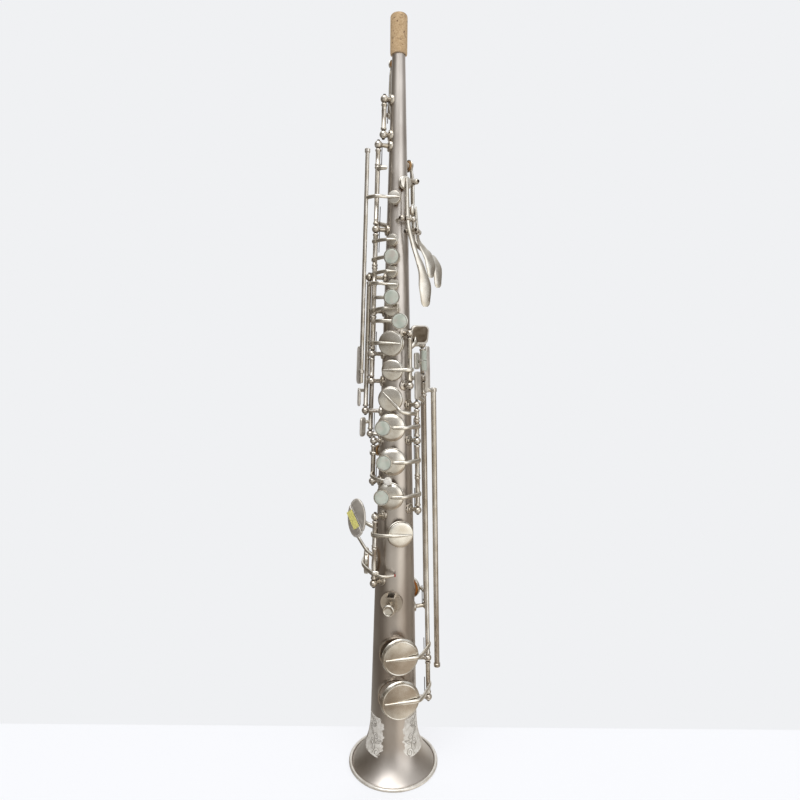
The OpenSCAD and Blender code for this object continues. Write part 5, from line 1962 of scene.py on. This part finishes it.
@dataclass
class Studio:
    """Pale floor, soft lamps, white surroundings and the photograph's camera."""

    eye: tuple[float, float, float] = (3.0, -501.0, 378.0)
    pitch_deg: float = 5.37
    roll_deg: float = 0.48
    focal_px: float = 583.0
    frame_px: float = 800.0
    sensor: float = 36.0
    floor_half: float = 9000.0
    floor_z: float = -0.05
    floor_matt: str = "#e6e7ee"
    floor_lit: str = "#dedad2"
    table_back: float = 46.0
    table: str = "#f8f9fb"
    table_front: float = 170.0
    backdrop: str = "#f0f1f3"
    front_dim: float = 0.44
    room_tint: str = "#c9bcab"
    room_dim: str = "#998d80"
    room_least: float = 0.12

    def build(self) -> None:
        """Builds the camera, the floor, the lamps and the world."""
        scene = bpy.context.scene
        scene.view_settings.view_transform = "Standard"
        self.camera(scene)
        self.floor()
        self.lamps()
        self.world(scene)

    def camera(self, scene: bpy.types.Scene) -> None:
        """Sets the camera where the photograph was taken.

        Args:
            scene: scene that takes the camera.
        """
        lens = bpy.data.cameras.new("camera")
        lens.sensor_width = self.sensor
        lens.lens = self.sensor * self.focal_px / self.frame_px
        lens.clip_start, lens.clip_end = 0.01, 30.0
        camera = bpy.data.objects.new("camera", lens)
        camera.location = Vector(self.eye) * MM
        camera.rotation_euler = (math.radians(90 - self.pitch_deg), math.radians(-self.roll_deg), 0.0)
        scene.collection.objects.link(camera)
        scene.camera = camera

    def floor(self) -> None:
        """Lays the pale floor: a white table top in front, and the same white as the room behind."""
        half = self.floor_half
        corners = [(x * half, y * half, self.floor_z) for x, y in ((-1, -1), (1, -1), (1, 1), (-1, 1))]
        floor = Bench.raw(corners, [], [(0, 1, 2, 3)])
        floor.name = "floor"
        paint = bpy.data.materials.new("pale_floor")
        add = empty_tree(paint)
        where = add("TexCoord").outputs["Object"]
        parts = add("SeparateXYZ", [where]).outputs
        far = add("MapRange", [parts["Y"], (self.table_back - 1.0) * MM, (self.table_back + 1.0) * MM])
        matt = add("BsdfPrincipled", {"Base Color": self.floor_matt, "Roughness": 0.6})
        tint = mottle(add, far, 0.0, 1.0, self.table, self.backdrop)
        glow = add("Emission", {"Color": tint, "Strength": 1.0})
        ray = add("LightPath").outputs
        seen = add("MapRange", [far, 0.0, 1.0, 0.72, 1.0])
        share = add("Math", [ray["Is Camera Ray"], seen], operation="MULTIPLY")
        plain = add("MixShader", [ray["Is Glossy Ray"], matt, self.mirrored_floor(add, where, parts)])
        mixed = add("MixShader", [share, plain, glow])
        add("OutputMaterial", {"Surface": mixed})
        floor.data.materials.append(paint)

    def mirrored_floor(self, add: Adder, where: Any, parts: Any) -> Any:
        """Makes the floor that the metal mirrors: dim at the sides, lit behind, in front and at the bell.

        Args:
            add: adds a node to the floor's material.
            where: socket of the object coordinates.
            parts: sockets of their x, y and z.

        Returns:
            The shader node.
        """
        size = self.table_front * MM
        aside = add("Math", [parts["X"]], operation="ABSOLUTE")
        behind = add("MapRange", [parts["Y"], -0.2 * size, 0.2 * size])
        middle = add("MapRange", [aside, 0.4 * size, size, 1.0, 0.25])
        near = add("Math", [behind, middle], operation="MULTIPLY")
        beyond = add("MapRange", [parts["Y"], -1.6 * size, -2.6 * size])
        reach = add("VectorMath", [where], operation="LENGTH")
        close = add("MapRange", [reach, 0.45 * size, 0.75 * size, 0.7, 0.0])
        lit = add("Math", [add("Math", [near, beyond], operation="MAXIMUM"), close], operation="MAXIMUM")
        colour = mottle(add, lit, 0.0, 1.0, self.room_dim, self.floor_lit)
        heading = add("VectorMath", [where], operation="NORMALIZE")
        strength: Any = 1.0
        # Heading from the bell, how near to it the change starts and is full, and the change
        changes = (((0.62, -0.77, 0), 0.86, 0.97, 0.75), ((-0.95, 0.2, 0), 0.2, 0.8, -0.5))
        for aim, start, full, change in changes:
            toward = add("VectorMath", [heading, aim], operation="DOT_PRODUCT")
            gleam = add("MapRange", [toward, start, full, 0.0, change])
            strength = add("Math", [strength, gleam], operation="ADD")
        return add("Emission", {"Color": colour, "Strength": strength})

    def lamps(self) -> None:
        """Hangs a large soft lamp on the upper left, a fill on the right and a rim lamp behind."""
        plan = (
            ("key_lamp", (-700, -900, 1150), (0, 0, 330), 620, 2.6),
            ("fill_lamp", (900, -900, 520), (0, 0, 300), 520, 1.2),
            ("rim_lamp", (350, 900, 1000), (0, 0, 350), 500, 1.2),
        )
        for name, spot, aim, size, power in plan:
            light = bpy.data.lights.new(name, "AREA")
            light.shape, light.size, light.energy = "DISK", size * MM, power
            lamp = bpy.data.objects.new(name, light)
            lamp.location = Vector(spot) * MM
            lamp.rotation_euler = (Vector(aim) - Vector(spot)).to_track_quat("-Z", "Y").to_euler()
            lamp.visible_glossy = False
            bpy.context.scene.collection.objects.link(lamp)

    def world(self, scene: bpy.types.Scene) -> None:
        """Makes white surroundings for the eye and, for the metal, a dim warm room with a window.

        Args:
            scene: scene that takes the world.
        """
        scene.world = bpy.data.worlds.new("studio")
        add = empty_tree(scene.world)
        way = add("TexCoord").outputs["Generated"]
        parts = add("SeparateXYZ", [way]).outputs
        back = add("MapRange", [parts["Y"], 0.55, 0.97, self.front_dim, 0.95])
        room = add("Math", [back, add("MapRange", [parts["Z"], -0.1, 0.7, 0.0, 0.35])], operation="ADD")
        # Window, ceiling lamp and shade on both sides: direction, where each starts and is full, strength
        patches = (
            ((0.62, -0.77, 0.05), 0.84, 0.97, 1.1),
            ((-0.1, -0.5, 0.86), 0.83, 0.96, 2.6),
            ((-0.95, 0.2, -0.1), 0.25, 0.8, -0.34),
            ((0.9, 0.4, -0.1), 0.6, 0.95, -0.16),
        )
        for aim, start, full, strength in patches:
            toward = add("VectorMath", [way, Vector(aim).normalized()], operation="DOT_PRODUCT")
            patch = add("MapRange", [toward, start, full, 0.0, strength])
            room = add("Math", [room, patch], operation="ADD")
        lit = add("Math", [room, self.room_least], operation="MAXIMUM")
        path = add("LightPath").outputs
        seen = add("Math", [path["Is Camera Ray"], path["Is Transmission Ray"]], operation="MAXIMUM")
        power = add("Mix", {FACTOR: seen, VALUE_A: lit, VALUE_B: 1.0})
        warm = mottle(add, lit, 0.25, 0.8, self.room_tint, "#ffffff")
        colour = mottle(add, seen, 0.0, 1.0, warm, self.backdrop)
        white = add("Background", {"Color": colour, "Strength": power})
        add("OutputWorld", {"Surface": white})


def main() -> None:
    """Builds the studio and every part of the horn, in order."""
    Studio().build()
    assemblies = (Horn, Mounting, LowKeys, RightHand, LeftHand, SideKeys, PalmKeys, OctaveWork, Pads)
    for assembly in assemblies:
        log.info("building %s", assembly.__name__)
        assembly().build()


if __name__ == "__main__":
    main()
